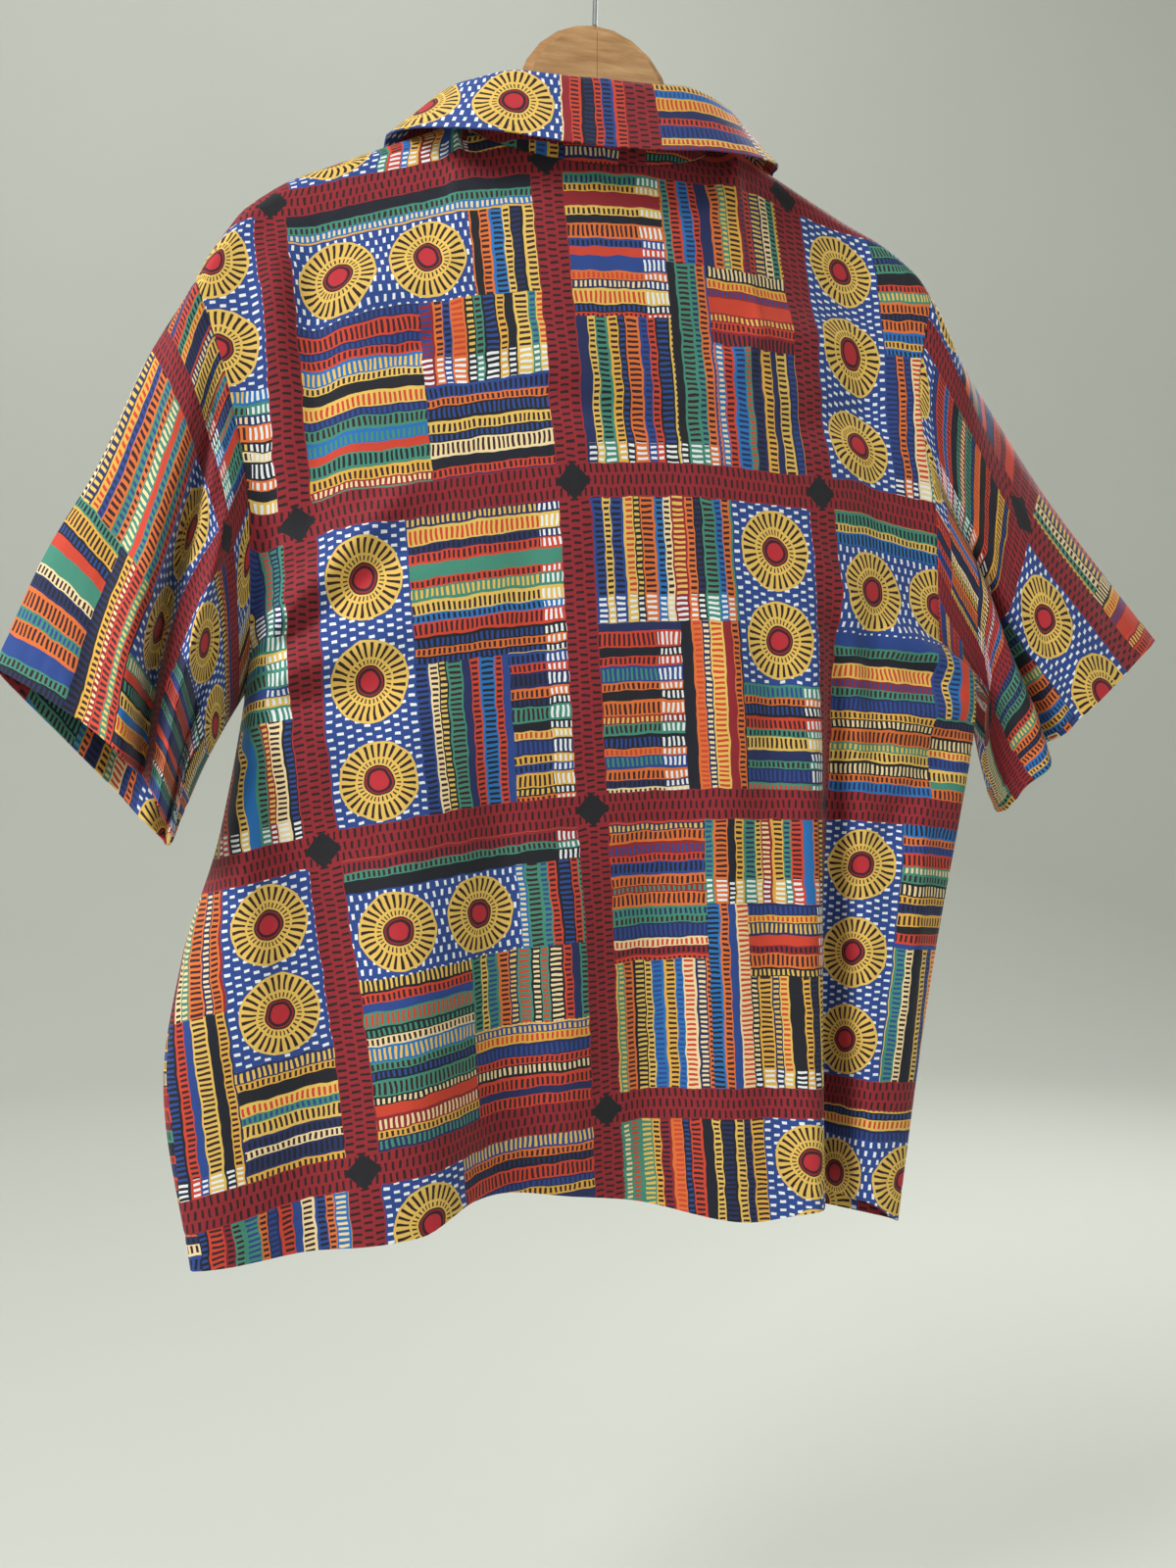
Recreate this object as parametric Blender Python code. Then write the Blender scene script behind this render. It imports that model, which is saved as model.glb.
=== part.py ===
"""A wide, short-sleeved african print shirt that hangs on a wooden hanger.

Metres, Z up. The origin is the inner top of the hook, where a rail carries it. The back of the shirt
faces -Y and its front +Y, and +X is the wearer's right. Each panel is a thin closed wall of its own.
The outer face of every wall is worked out first. Panels that are sewn together share the points and
the normals of their seam, and each then draws back from the seam by half of its gap.
"""
import math
from collections import namedtuple

import bmesh
import bpy
from mathutils import Vector

CLOTH = 0.0013
SEAM_GAP = 0.0003

# Colours, roughness and metallic of the materials
PRINT_BACK = (0.235, 0.055, 0.050)
PRINT_FRONT = (0.215, 0.060, 0.065)
PRINT_SLEEVE = (0.260, 0.070, 0.045)
PRINT_COLLAR = (0.050, 0.085, 0.260)
BUTTON_NAVY = (0.020, 0.024, 0.050)
PALE_WOOD = (0.500, 0.310, 0.150)
STEEL = (0.560, 0.570, 0.580)

# The body's two side edges. A drop of 0 is the shoulder tip and a drop of 1 is the hem.
# Down to the underarm the edges are the armholes, and below it they are the side seams.
Side = namedtuple("Side", "drop left right left_y right_y")
SIDES = (
    Side(0.000, -0.2820, 0.2600, 0.000, 0.000),
    Side(0.110, -0.2600, 0.2490, 0.000, 0.000),
    Side(0.250, -0.2455, 0.2645, 0.000, -0.002),
    Side(0.380, -0.2445, 0.2680, 0.000, -0.012),
    Side(0.426, -0.2480, 0.2950, 0.000, -0.026),
    Side(0.580, -0.2670, 0.2760, -0.010, -0.036),
    Side(0.700, -0.2905, 0.2580, -0.022, -0.036),
    Side(0.820, -0.3020, 0.2400, -0.040, -0.042),
    Side(1.000, -0.2850, 0.2150, -0.060, -0.055),
)
UNDERARM_DROP = 0.426

# The ridge of the shoulders, where the cloth lies over the hanger
Ridge = namedtuple("Ridge", "out z")
SHOULDER = (
    Ridge(0.080, -0.1475),
    Ridge(0.096, -0.1542),
    Ridge(0.140, -0.1725),
    Ridge(0.190, -0.1950),
    Ridge(0.220, -0.2090),
    Ridge(0.239, -0.2225),
    Ridge(0.250, -0.2320),
    Ridge(0.260, -0.2460),
    Ridge(0.273, -0.2660),
    Ridge(0.282, -0.2840),
)

# The hem's height, across from the left side seam at 0 to the right one at 1
Hem = namedtuple("Hem", "across back_z front_z")
HEM = (
    Hem(0.000, -0.934, -0.934),
    Hem(0.288, -0.919, -0.926),
    Hem(0.374, -0.905, -0.920),
    Hem(0.576, -0.9165, -0.922),
    Hem(0.774, -0.933, -0.930),
    Hem(0.864, -0.925, -0.934),
    Hem(0.938, -0.925, -0.938),
    Hem(1.000, -0.942, -0.942),
)

# How far the cloth stands from the hanger's plane, at six places across
DRAPE_ACROSS = (0.08, 0.29, 0.45, 0.60, 0.77, 0.90)
Drape = namedtuple("Drape", "drop far_left left mid_left mid_right right far_right")
BACK_DRAPE = (
    Drape(0.00, -0.014, -0.022, -0.044, -0.044, -0.022, -0.014),
    Drape(0.15, -0.022, -0.034, -0.047, -0.047, -0.034, -0.020),
    Drape(0.42, -0.034, -0.044, -0.049, -0.049, -0.045, -0.034),
    Drape(0.70, -0.050, -0.058, -0.047, -0.045, -0.050, -0.050),
    Drape(1.00, -0.070, -0.080, -0.034, -0.032, -0.058, -0.062),
)
FRONT_DRAPE = (
    Drape(0.00, 0.012, 0.011, 0.040, 0.040, 0.011, 0.012),
    Drape(0.07, 0.015, 0.014, 0.042, 0.042, 0.014, 0.015),
    Drape(0.17, 0.021, 0.026, 0.043, 0.043, 0.026, 0.021),
    Drape(0.42, 0.024, 0.034, 0.042, 0.042, 0.034, 0.024),
    Drape(0.70, 0.006, 0.022, 0.036, 0.036, 0.028, 0.022),
    Drape(1.00, -0.022, 0.010, 0.034, 0.030, 0.020, 0.014),
)

SHOULDER_SLOPE = 0.46

# The largest folds. A positive height stands out from the body, a negative one sinks in.
Fold = namedtuple("Fold", "top_drop low_drop top_x low_x width top_height low_height")
BACK_FOLDS = (
    Fold(0.03, 0.40, -0.232, -0.222, 0.016, 0.010, 0.006),
    Fold(0.36, 1.00, 0.148, 0.143, 0.022, 0.004, 0.014),
    Fold(0.36, 1.00, 0.174, 0.169, 0.012, -0.004, -0.050),
    Fold(0.36, 0.62, 0.206, 0.200, 0.014, -0.008, -0.006),
    Fold(0.52, 1.00, -0.190, -0.210, 0.030, 0.000, -0.012),
)
FRONT_FOLDS = (
    Fold(0.05, 0.50, -0.225, -0.200, 0.018, 0.009, 0.004),
    Fold(0.45, 1.00, -0.175, -0.185, 0.024, 0.000, 0.016),
    Fold(0.50, 1.00, -0.130, -0.130, 0.022, 0.000, -0.014),
    Fold(0.45, 1.00, 0.150, 0.112, 0.024, 0.000, 0.018),
    Fold(0.50, 1.00, 0.100, 0.064, 0.020, 0.000, -0.012),
)

RIDGE_CURL = 0.012
NECK_CURL = 0.080
SIDE_CURL = 0.036
FRONT_SIDE_BLEND = 0.090
FRONT_SIDE_SOFT = 0.75
ARMHOLE_BLEND = 0.070
ARMHOLE_DEPTH = 0.024

# The neck, an oval round the hanger's dome
NECK_X = -0.006
NECK_RISE = 0.0015
NECK_HALF_WIDTH = 0.092
NECK_HALF_DEPTH = 0.045
BACK_NECK_POWER = 0.8
FRONT_NECK_POWER = 0.6
BACK_NECK_FALL = 0.039
FRONT_NECK_FALL = 0.102
FRONT_FALL_POWER = 1.15
NECK_FAN = 0.010
NECK_FAN_WIDTH = 0.012

# The left front laps over the right one. The collar's ends stop short of the lap.
EDGE_PAST_CENTRE = 0.015
LAP_CLEARANCE = 0.002
COLLAR_END_X = 0.022

# Counts of the grids
SHOULDER_STEPS = 9
NECK_STEPS = 12
FRONT_NECK_STEPS = 7
FRONT_NECK_CROWDING = 1.4
ARMHOLE_STEPS = 11
BODY_STEPS = 11
RIDGE_DROPS = (0.0, 0.0018, 0.0060, 0.0130, 0.0220)
EVEN_DROP = 0.38
SIDE_CROWDING = 0.6
SIDE_PULL = 8

# Where the back's right-hand columns end at the hem, close together at the deep fold
BACK_RIGHT_HEM_X = (0.024, 0.048, 0.071, 0.093, 0.113, 0.130, 0.143, 0.153, 0.161, 0.169, 0.178,
                    0.189, 0.201, 0.210, 0.215)

# The sleeves. Each section hangs from its top point through a middle one to a low one. Both faces
# stand out from centre_y by their depths, and the front face is longer at the cuff.
Section = namedtuple("Section", "along top_x top_z mid_x mid_z low_x low_z centre_y near far longer")
LEFT_SLEEVE = (
    Section(0.00, -0.2820, -0.2840, -0.2455, -0.4200, -0.2480, -0.5610, 0.000, 0.024, 0.024, 0.000),
    Section(0.25, -0.3120, -0.3390, -0.2700, -0.4650, -0.2620, -0.5850, -0.010, 0.024, 0.024, 0.000),
    Section(0.50, -0.3430, -0.4155, -0.2920, -0.5150, -0.2740, -0.6080, -0.022, 0.025, 0.024, 0.003),
    Section(0.75, -0.3740, -0.4760, -0.3090, -0.5600, -0.2860, -0.6360, -0.036, 0.026, 0.024, 0.009),
    Section(1.00, -0.4030, -0.5500, -0.3230, -0.6080, -0.2970, -0.6640, -0.050, 0.026, 0.022, 0.016),
)
RIGHT_SLEEVE = (
    Section(0.00, 0.2600, -0.2460, 0.2620, -0.4000, 0.2950, -0.5420, 0.000, 0.024, 0.024, 0.000),
    Section(0.25, 0.3150, -0.3160, 0.3020, -0.4500, 0.3200, -0.5610, 0.004, 0.024, 0.026, 0.000),
    Section(0.50, 0.3760, -0.3955, 0.3270, -0.5050, 0.3210, -0.5950, 0.006, 0.024, 0.028, 0.003),
    Section(0.80, 0.4360, -0.4630, 0.3560, -0.5600, 0.3280, -0.6330, 0.006, 0.024, 0.030, 0.009),
    Section(1.00, 0.4746, -0.5060, 0.3690, -0.5930, 0.3380, -0.6490, 0.004, 0.022, 0.030, 0.014),
)
SLEEVE_STEPS = 11
ARMHOLE_SHARE = 0.35
NEAR_LENS_POWER = 0.6
FAR_LENS_POWER = 0.8
FAR_CREASE_SHARE = 0.6

# Folds of a sleeve, which fan out from the underarm. Down is 0 at the top line and 1 underneath.
Crease = namedtuple("Crease", "start end start_down end_down width height")
LEFT_CREASES = (
    Crease(0.05, 1.0, 0.50, 0.42, 0.110, 0.012),
    Crease(0.05, 1.0, 0.72, 0.62, 0.090, -0.020),
    Crease(0.15, 1.0, 0.90, 0.82, 0.090, 0.014),
)
RIGHT_CREASES = (
    Crease(0.05, 1.0, 0.50, 0.42, 0.110, 0.010),
    Crease(0.05, 1.0, 0.72, 0.62, 0.090, -0.016),
    Crease(0.15, 1.0, 0.90, 0.84, 0.090, 0.010),
)
SLEEVE_EVEN_SHARE = 0.30
ROUND_CROWDING = 0.4
LOWER_CROWDING = 0.75

# The collar, from the centre back at 0 through the shoulder at 0.5 to the centre front at 1
Collar = namedtuple("Collar", "round lean stand spread drop")
COLLAR = (
    Collar(0.00, 0.007, 0.055, 0.013, 0.053),
    Collar(0.20, 0.009, 0.050, 0.016, 0.051),
    Collar(0.36, 0.012, 0.032, 0.028, 0.044),
    Collar(0.50, 0.013, 0.018, 0.037, 0.033),
    Collar(0.60, 0.012, 0.016, 0.039, 0.042),
    Collar(0.72, 0.009, 0.013, 0.032, 0.050),
    Collar(0.86, 0.007, 0.009, 0.020, 0.060),
    Collar(1.00, 0.006, 0.006, 0.016, 0.066),
)
COLLAR_ROLL = 0.0030
COLLAR_FALL_SHARES = (0.4, 0.7, 1.0)

# Five buttons down the centre front
BUTTON_RADIUS = 0.0060
BUTTON_THICKNESS = 0.0026
BUTTON_EDGE = 0.0007
BUTTON_DROPS = (0.045, 0.185, 0.325, 0.465, 0.605)
BUTTON_STEP = 0.01

# The wooden hanger: the upper and lower outline of one half, in plain view
Outline = namedtuple("Outline", "out z")
HANGER_THICKNESS = 0.014
HANGER_EDGE = 0.006
HANGER_TOP = (
    Outline(0.0000, -0.0710),
    Outline(0.0140, -0.0728),
    Outline(0.0280, -0.0785),
    Outline(0.0410, -0.0885),
    Outline(0.0510, -0.1020),
    Outline(0.0570, -0.1180),
    Outline(0.0640, -0.1370),
    Outline(0.0740, -0.1510),
    Outline(0.0860, -0.1566),
)
HANGER_BOTTOM = (
    Outline(0.2180, -0.2480),
    Outline(0.1700, -0.2280),
    Outline(0.1200, -0.2080),
    Outline(0.0700, -0.1920),
    Outline(0.0300, -0.1850),
    Outline(0.0000, -0.1835),
)
HANGER_ARM_OUTS = (0.100, 0.130, 0.160, 0.200)
HANGER_BELOW_CLOTH = 0.0007
HANGER_END_OUT = 0.214
HANGER_END_RADIUS = 0.012
HANGER_END_ANGLES = (60, 20, -20, -60)
HANGER_REACH_OUT = 0.223
HANGER_JOINT = 0.0003

# The hook: a bowl of wire that carries the hanger at the origin
WIRE_RADIUS = 0.00175
HOOK_STANDOFF = 0.0005
BOWL_RADIUS = 0.017
BOWL_START = -112
BOWL_END = -395
BOWL_POINTS = 19
STEM_POINTS = 7


def mix(a, b, share):
    return a + (b - a) * share


def ease(share):
    """Rises smoothly from 0 to 1."""
    share = min(max(share, 0.0), 1.0)
    return share * share * (3 - 2 * share)


def curl(share):
    """The height of a quarter circle, for cloth that turns over an edge."""
    share = min(max(share, 0.0), 1.0)
    return math.sqrt(1 - (1 - share) ** 2)


def slope(places, values, i):
    """The slope at a row, level at a peak, so that the curve never swings past its rows."""
    if i in (0, len(places) - 1):
        j = min(i, len(places) - 2)
        return (values[j + 1] - values[j]) / (places[j + 1] - places[j])
    before = (values[i] - values[i - 1]) / (places[i] - places[i - 1])
    after = (values[i + 1] - values[i]) / (places[i + 1] - places[i])
    if before * after <= 0:
        return 0.0
    return 2 * before * after / (before + after)


def between(places, values, where):
    """Reads values smoothly between their places."""
    if where <= places[0]:
        return values[0]
    if where >= places[-1]:
        return values[-1]
    i = max(k for k in range(len(places) - 1) if places[k] <= where)
    step = places[i + 1] - places[i]
    t = (where - places[i]) / step
    start_slope = slope(places, values, i) * step
    end_slope = slope(places, values, i + 1) * step
    start_share = (1 + 2 * t) * (1 - t) ** 2
    end_share = t * t * (3 - 2 * t)
    return (start_share * values[i] + t * (1 - t) ** 2 * start_slope
            + end_share * values[i + 1] + t * t * (t - 1) * end_slope)


def along(table, where, column):
    """Reads one column of a table whose first column is the place."""
    return between([row[0] for row in table], [getattr(row, column) for row in table], where)


def fold_height(folds, x, drop):
    """The sum of the folds at one place of a panel."""
    total = 0.0
    for fold in folds:
        t = (drop - fold.top_drop) / (fold.low_drop - fold.top_drop)
        if t <= 0 or t > 1:
            continue
        fade = ease(t / 0.2)
        if fold.low_drop < 1:
            fade *= ease((1 - t) / 0.3)
        away = (x - mix(fold.top_x, fold.low_x, t)) / fold.width
        total += mix(fold.top_height, fold.low_height, t) * fade * math.exp(-away * away)
    return total


def body_y(face, x, drop, below_top, top_y, soft):
    """How far a point of the body stands out, towards -Y on the back and +Y on the front."""
    sign = -1 if face == "back" else 1
    drape = BACK_DRAPE if face == "back" else FRONT_DRAPE
    folds = BACK_FOLDS if face == "back" else FRONT_FOLDS
    left = along(SIDES, drop, "left")
    right = along(SIDES, drop, "right")
    columns = [along(drape, drop, name) for name in Drape._fields[1:]]
    inner = between(DRAPE_ACROSS, columns, (x - left) / (right - left))
    inner += sign * fold_height(folds, x, drop)
    below = below_top / mix(RIDGE_CURL, NECK_CURL, soft)
    inner = mix(top_y, inner, mix(curl(below), ease(below), soft))
    side = along(SIDES, drop, "left_y" if x < 0 else "right_y")
    from_edge = min(x - left, right - x)
    side_turn = curl(from_edge / SIDE_CURL)
    if face == "front":
        side_turn = mix(side_turn, ease(from_edge / FRONT_SIDE_BLEND), FRONT_SIDE_SOFT)
    if drop >= UNDERARM_DROP:
        return mix(side, inner, side_turn)
    share = drop / UNDERARM_DROP
    edge = side + sign * ARMHOLE_DEPTH * (1 - share ** 2.5) ** 0.8 * curl(below_top / RIDGE_CURL)
    rounded = mix(side_turn, ease(from_edge / ARMHOLE_BLEND), ease((1 - share) / 0.25))
    return mix(edge, inner, rounded)


def neck_point(face, turn):
    """A point of the neck seam. Turn is -90 at the left neck point and 90 at the right one."""
    angle = math.radians(turn)
    x = NECK_X + NECK_HALF_WIDTH * math.sin(angle)
    towards_centre = max(math.cos(angle), 0.0)
    left = along(SHOULDER, NECK_HALF_WIDTH - NECK_X, "z")
    right = along(SHOULDER, NECK_HALF_WIDTH + NECK_X, "z")
    ends = mix(left, right, (1 + math.sin(angle)) / 2) + NECK_RISE
    if face == "back":
        y = -NECK_HALF_DEPTH * towards_centre ** BACK_NECK_POWER
        z = ends - BACK_NECK_FALL * towards_centre
    else:
        y = NECK_HALF_DEPTH * towards_centre ** FRONT_NECK_POWER
        z = ends - FRONT_NECK_FALL * towards_centre ** FRONT_FALL_POWER
    return Vector((x, y, z))


def neck_turn(x):
    """The turn of the neck seam's point at a given x."""
    return math.degrees(math.asin((x - NECK_X) / NECK_HALF_WIDTH))


def front_turns(side):
    """Turns of the front neck seam, from a neck point to the collar's end."""
    sign = -1 if side == "left" else 1
    end = neck_turn(sign * COLLAR_END_X)
    shares = [(i / FRONT_NECK_STEPS) ** FRONT_NECK_CROWDING for i in range(1, FRONT_NECK_STEPS + 1)]
    return [mix(sign * 90, end, share) for share in shares]


def back_turns():
    return [mix(-90, 90, i / NECK_STEPS) for i in range(1, NECK_STEPS)]


# A column of a body panel: its upper end, how softly the cloth turns there, from 0 at the shoulder's
# ridge to 1 at the neck's middle, the x where it ends at the hem or the x that it keeps all the way
# down, and how far it stands off for the lap
Column = namedtuple("Column", "top soft hem_x x lift")


def crowded(out):
    """An even spacing from the middle at 0 to the side at 1, drawn closer together at the side."""
    return mix(out, math.sin(math.pi / 2 * out), SIDE_CROWDING)


def neck_columns(face, turns, x=None, lift=0.0):
    columns = []
    for turn in turns:
        soft = math.cos(math.radians(turn))
        columns.append(Column(neck_point(face, turn), soft, None, x, lift))
    return columns


def shoulder_columns(side):
    """The shoulder seam from the armhole to the neck, closer together near the armhole."""
    tip = SIDES[0].left if side == "left" else SIDES[0].right
    neck = neck_point("back", -90 if side == "left" else 90)
    columns = []
    for i in range(SHOULDER_STEPS + 1):
        x = mix(tip, neck.x, 1 - math.cos(math.pi / 2 * i / SHOULDER_STEPS))
        top = Vector((x, 0.0, along(SHOULDER, abs(x), "z")))
        if i == SHOULDER_STEPS:
            top = neck
        columns.append(Column(top, 0.0, None, None, 0.0))
    return columns


def back_columns():
    """All columns of the back, from its left side to its right one."""
    columns = shoulder_columns("left") + neck_columns("back", back_turns())
    columns += shoulder_columns("right")[::-1]
    half = len(columns) // 2
    for i, column in enumerate(columns):
        if i > half:
            hem_x = BACK_RIGHT_HEM_X[i - half - 1]
        else:
            hem_x = SIDES[-1].left * crowded(1 - i / half)
        columns[i] = column._replace(hem_x=hem_x)
    return columns


def front_columns(side):
    """All columns of a front, from its side to its free edge."""
    sign = -1 if side == "left" else 1
    columns = shoulder_columns(side) + neck_columns("front", front_turns(side))
    last = len(columns) - 1
    seam_x = SIDES[-1].left if side == "left" else SIDES[-1].right
    for i, column in enumerate(columns):
        hem_x = mix(sign * COLLAR_END_X, seam_x, crowded(1 - i / last))
        columns[i] = column._replace(hem_x=hem_x)
    columns[-1] = columns[-1]._replace(x=sign * COLLAR_END_X)
    lift = CLOTH + 1.5 * SEAM_GAP if side == "left" else 0.0
    edges = (0.0, -sign * EDGE_PAST_CENTRE)
    if side == "left":
        edges = (-EDGE_PAST_CENTRE - LAP_CLEARANCE,) + edges
    for x in edges:
        columns += neck_columns("front", [neck_turn(x)], x, lift)
    return columns


def column_x(column, drop):
    """The x of a column at one level: it hangs plumb from the chest down, but for the sides."""
    if column.x is not None:
        return column.x
    side = "left" if column.hem_x < 0 else "right"
    here = along(SIDES, drop, side)
    at_hem = getattr(SIDES[-1], side)
    plumb = column.hem_x + (here - at_hem) * (column.hem_x / at_hem) ** SIDE_PULL
    upper = column.top.x * here / getattr(SIDES[0], side)
    return mix(upper, plumb, ease(drop / EVEN_DROP))


def drops():
    """The levels of a panel's rows, close together at the ridge and one at the underarm."""
    levels = list(RIDGE_DROPS)
    start = RIDGE_DROPS[-1]
    levels += [mix(start, UNDERARM_DROP, (i + 1) / ARMHOLE_STEPS) for i in range(ARMHOLE_STEPS)]
    levels += [mix(UNDERARM_DROP, 1.0, (i + 1) / BODY_STEPS) for i in range(BODY_STEPS)]
    return levels


def body_point(face, column, drop):
    """One point of a body panel's outer face."""
    if drop == 0:
        return column.top + Vector((0, column.lift, 0))
    hem_across = (column_x(column, 1) - SIDES[-1].left) / (SIDES[-1].right - SIDES[-1].left)
    x = column_x(column, drop)
    z = mix(column.top.z, along(HEM, hem_across, face + "_z"), drop)
    y = body_y(face, x, drop, column.top.z - z, column.top.y, column.soft)
    if column.x is None:
        from_neck = (abs(column.top.x - NECK_X) - NECK_HALF_WIDTH) / NECK_FAN_WIDTH
        fan = NECK_FAN * math.exp(-from_neck ** 2) * curl((column.top.z - z) / RIDGE_CURL)
        x += math.copysign(fan, column.top.x) * (1 - ease(drop / EVEN_DROP))
    return Vector((x, y + column.lift, z))


def body_grid(face, columns):
    """The outer face of a body panel, as rows of points from the shoulders to the hem."""
    return [[body_point(face, column, drop) for column in columns] for drop in drops()]


def crease_height(creases, share, down):
    """The sum of a sleeve's folds at one place."""
    total = 0.0
    for crease in creases:
        t = (share - crease.start) / (crease.end - crease.start)
        if t <= 0:
            continue
        away = (down - mix(crease.start_down, crease.end_down, t)) / crease.width
        total += crease.height * ease(t) * math.exp(-away * away)
    return total


def sleeve_point(table, creases, share, down, near):
    """A point on a sleeve's outer face. Down is 0 at its top line and 1 underneath."""
    def column(name):
        return along(table, share, name)
    top_share = (1 - down) * (1 - 2 * down)
    mid_share = 4 * down * (1 - down)
    low_share = down * (2 * down - 1)
    x = top_share * column("top_x") + mid_share * column("mid_x") + low_share * column("low_x")
    z = top_share * column("top_z") + mid_share * column("mid_z") + low_share * column("low_z")
    power = NEAR_LENS_POWER if near else FAR_LENS_POWER
    lens = math.sin(math.pi * down) ** power if 0 < down < 1 else 0.0
    bump = crease_height(creases, share, down)
    if near:
        y = column("centre_y") - (column("near") + bump) * lens
    else:
        y = column("centre_y") + (column("far") + FAR_CREASE_SHARE * bump) * lens
        z -= column("longer") * lens
    return Vector((x, y, z))


def ring_downs(armhole_side, share):
    """How far down each point of a ring lies, from the armhole's own spacing to an even one."""
    lengths = [0.0]
    for above, below in zip(armhole_side, armhole_side[1:]):
        lengths.append(lengths[-1] + (below - above).length)
    last = len(lengths) - 1
    downs = []
    for i, length in enumerate(lengths):
        lower = (i / last) ** LOWER_CROWDING
        even = mix(lower, (1 - math.cos(math.pi * lower)) / 2, ROUND_CROWDING)
        downs.append(mix(length / lengths[-1], even, ease(share / SLEEVE_EVEN_SHARE)))
    return downs


def sleeve_grid(table, creases, armhole_back, armhole_front):
    """Rings of points from the armhole to the cuff: down the back face and up the front one."""
    ring = armhole_back + armhole_front[-2:0:-1]
    at_armhole = ring_downs(armhole_back, 0)
    at_armhole += at_armhole[-2:0:-1]
    grid = [[point.copy() for point in ring]]
    for k in range(1, SLEEVE_STEPS + 1):
        share = k / SLEEVE_STEPS
        keep = 1 - ease(share / ARMHOLE_SHARE)
        downs = ring_downs(armhole_back, share)
        near = [True] * len(downs) + [False] * (len(downs) - 2)
        downs += downs[-2:0:-1]
        row = []
        for i, start in enumerate(ring):
            shift = start - sleeve_point(table, creases, 0.0, at_armhole[i], near[i])
            row.append(sleeve_point(table, creases, share, downs[i], near[i]) + shift * keep)
        grid.append(row)
    return grid


def collar_grid():
    """The collar's underside, from the neck seam up the stand, over the roll and down the fall."""
    seams = [neck_point("front", turn) for turn in front_turns("left")[::-1]]
    left_count = len(seams)
    seams += [neck_point("back", turn) for turn in [-90] + back_turns() + [90]]
    back_count = len(seams) - left_count
    seams += [neck_point("front", turn) for turn in front_turns("right")]
    last = len(seams) - 1
    grid = []
    for i, seam in enumerate(seams):
        before = seams[max(i - 1, 0)]
        after = seams[min(i + 1, last)]
        out = Vector((after.y - before.y, before.x - after.x, 0)).normalized()
        middle = left_count + (back_count - 1) / 2
        steps = abs(i - middle)
        if steps <= NECK_STEPS / 2:
            place = 0.5 * steps / (NECK_STEPS / 2)
        else:
            place = 0.5 + 0.5 * (steps - NECK_STEPS / 2) / FRONT_NECK_STEPS
        lean, stand, spread, drop = (along(COLLAR, place, name) for name in Collar._fields[1:])
        up = Vector((0, 0, 1))
        roll = seam + out * lean + up * stand
        edge = roll + out * spread - up * drop
        under_roll = min(COLLAR_ROLL, 0.3 * stand)
        stand_way = (roll - seam).normalized()
        fall_way = (edge - roll).normalized()
        shift = out * under_roll
        half_way = seam + out * lean * 0.15 + up * stand * 0.5
        column = [seam, half_way, roll - stand_way * under_roll, roll + shift * 0.5]
        column.append(roll + fall_way * under_roll + shift)
        column += [roll.lerp(edge, share) + shift for share in COLLAR_FALL_SHARES]
        grid.append(column)
    return [list(row) for row in zip(*grid)]


def grid_normals(grid, ring):
    """Normals of a grid's points, from the cells round each of them."""
    rows, columns = len(grid), len(grid[0])
    normals = [[Vector() for _ in range(columns)] for _ in range(rows)]
    for j in range(rows - 1):
        for i in range(columns if ring else columns - 1):
            k = (i + 1) % columns
            a, b, c, d = grid[j][i], grid[j][k], grid[j + 1][k], grid[j + 1][i]
            face = (c - a).cross(b - d)
            for row, column in ((j, i), (j, k), (j + 1, k), (j + 1, i)):
                normals[row][column] += face.normalized() * math.sqrt(face.length)
    return normals


def inward(grid, j, i, ring):
    """The ways into the panel from a point on its border, one for each border it lies on."""
    rows, columns = len(grid), len(grid[0])
    ways = []
    if j in (0, rows - 1):
        inner = grid[1][i] if j == 0 else grid[rows - 2][i]
        before = grid[j][(i - 1) % columns] if ring or i > 0 else grid[j][i]
        after = grid[j][(i + 1) % columns] if ring or i < columns - 1 else grid[j][i]
        ways.append((inner - grid[j][i], after - before))
    if not ring and i in (0, columns - 1):
        inner = grid[j][1] if i == 0 else grid[j][columns - 2]
        before = grid[max(j - 1, 0)][i]
        after = grid[min(j + 1, rows - 1)][i]
        ways.append((inner - grid[j][i], after - before))
    return ways


def key(point):
    return tuple(round(value * 20000) for value in point)


def material(name, colour, roughness, metallic=0.0):
    made = bpy.data.materials.new(name)
    made.use_nodes = True
    shader = made.node_tree.nodes["Principled BSDF"]
    shader.inputs["Base Color"].default_value = (*colour, 1.0)
    shader.inputs["Roughness"].default_value = roughness
    shader.inputs["Metallic"].default_value = metallic
    return made


def add_object(name, mesh, finish, smooth_angle=40):
    """Puts a finished mesh in the scene under its node's name."""
    made = bmesh.new()
    made.from_mesh(mesh)
    bmesh.ops.recalc_face_normals(made, faces=made.faces)
    made.to_mesh(mesh)
    made.free()
    mesh.materials.append(finish)
    mesh.shade_smooth()
    mesh.set_sharp_from_angle(angle=math.radians(smooth_angle))
    holder = bpy.data.objects.new(name, mesh)
    bpy.context.collection.objects.link(holder)
    return holder


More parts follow.
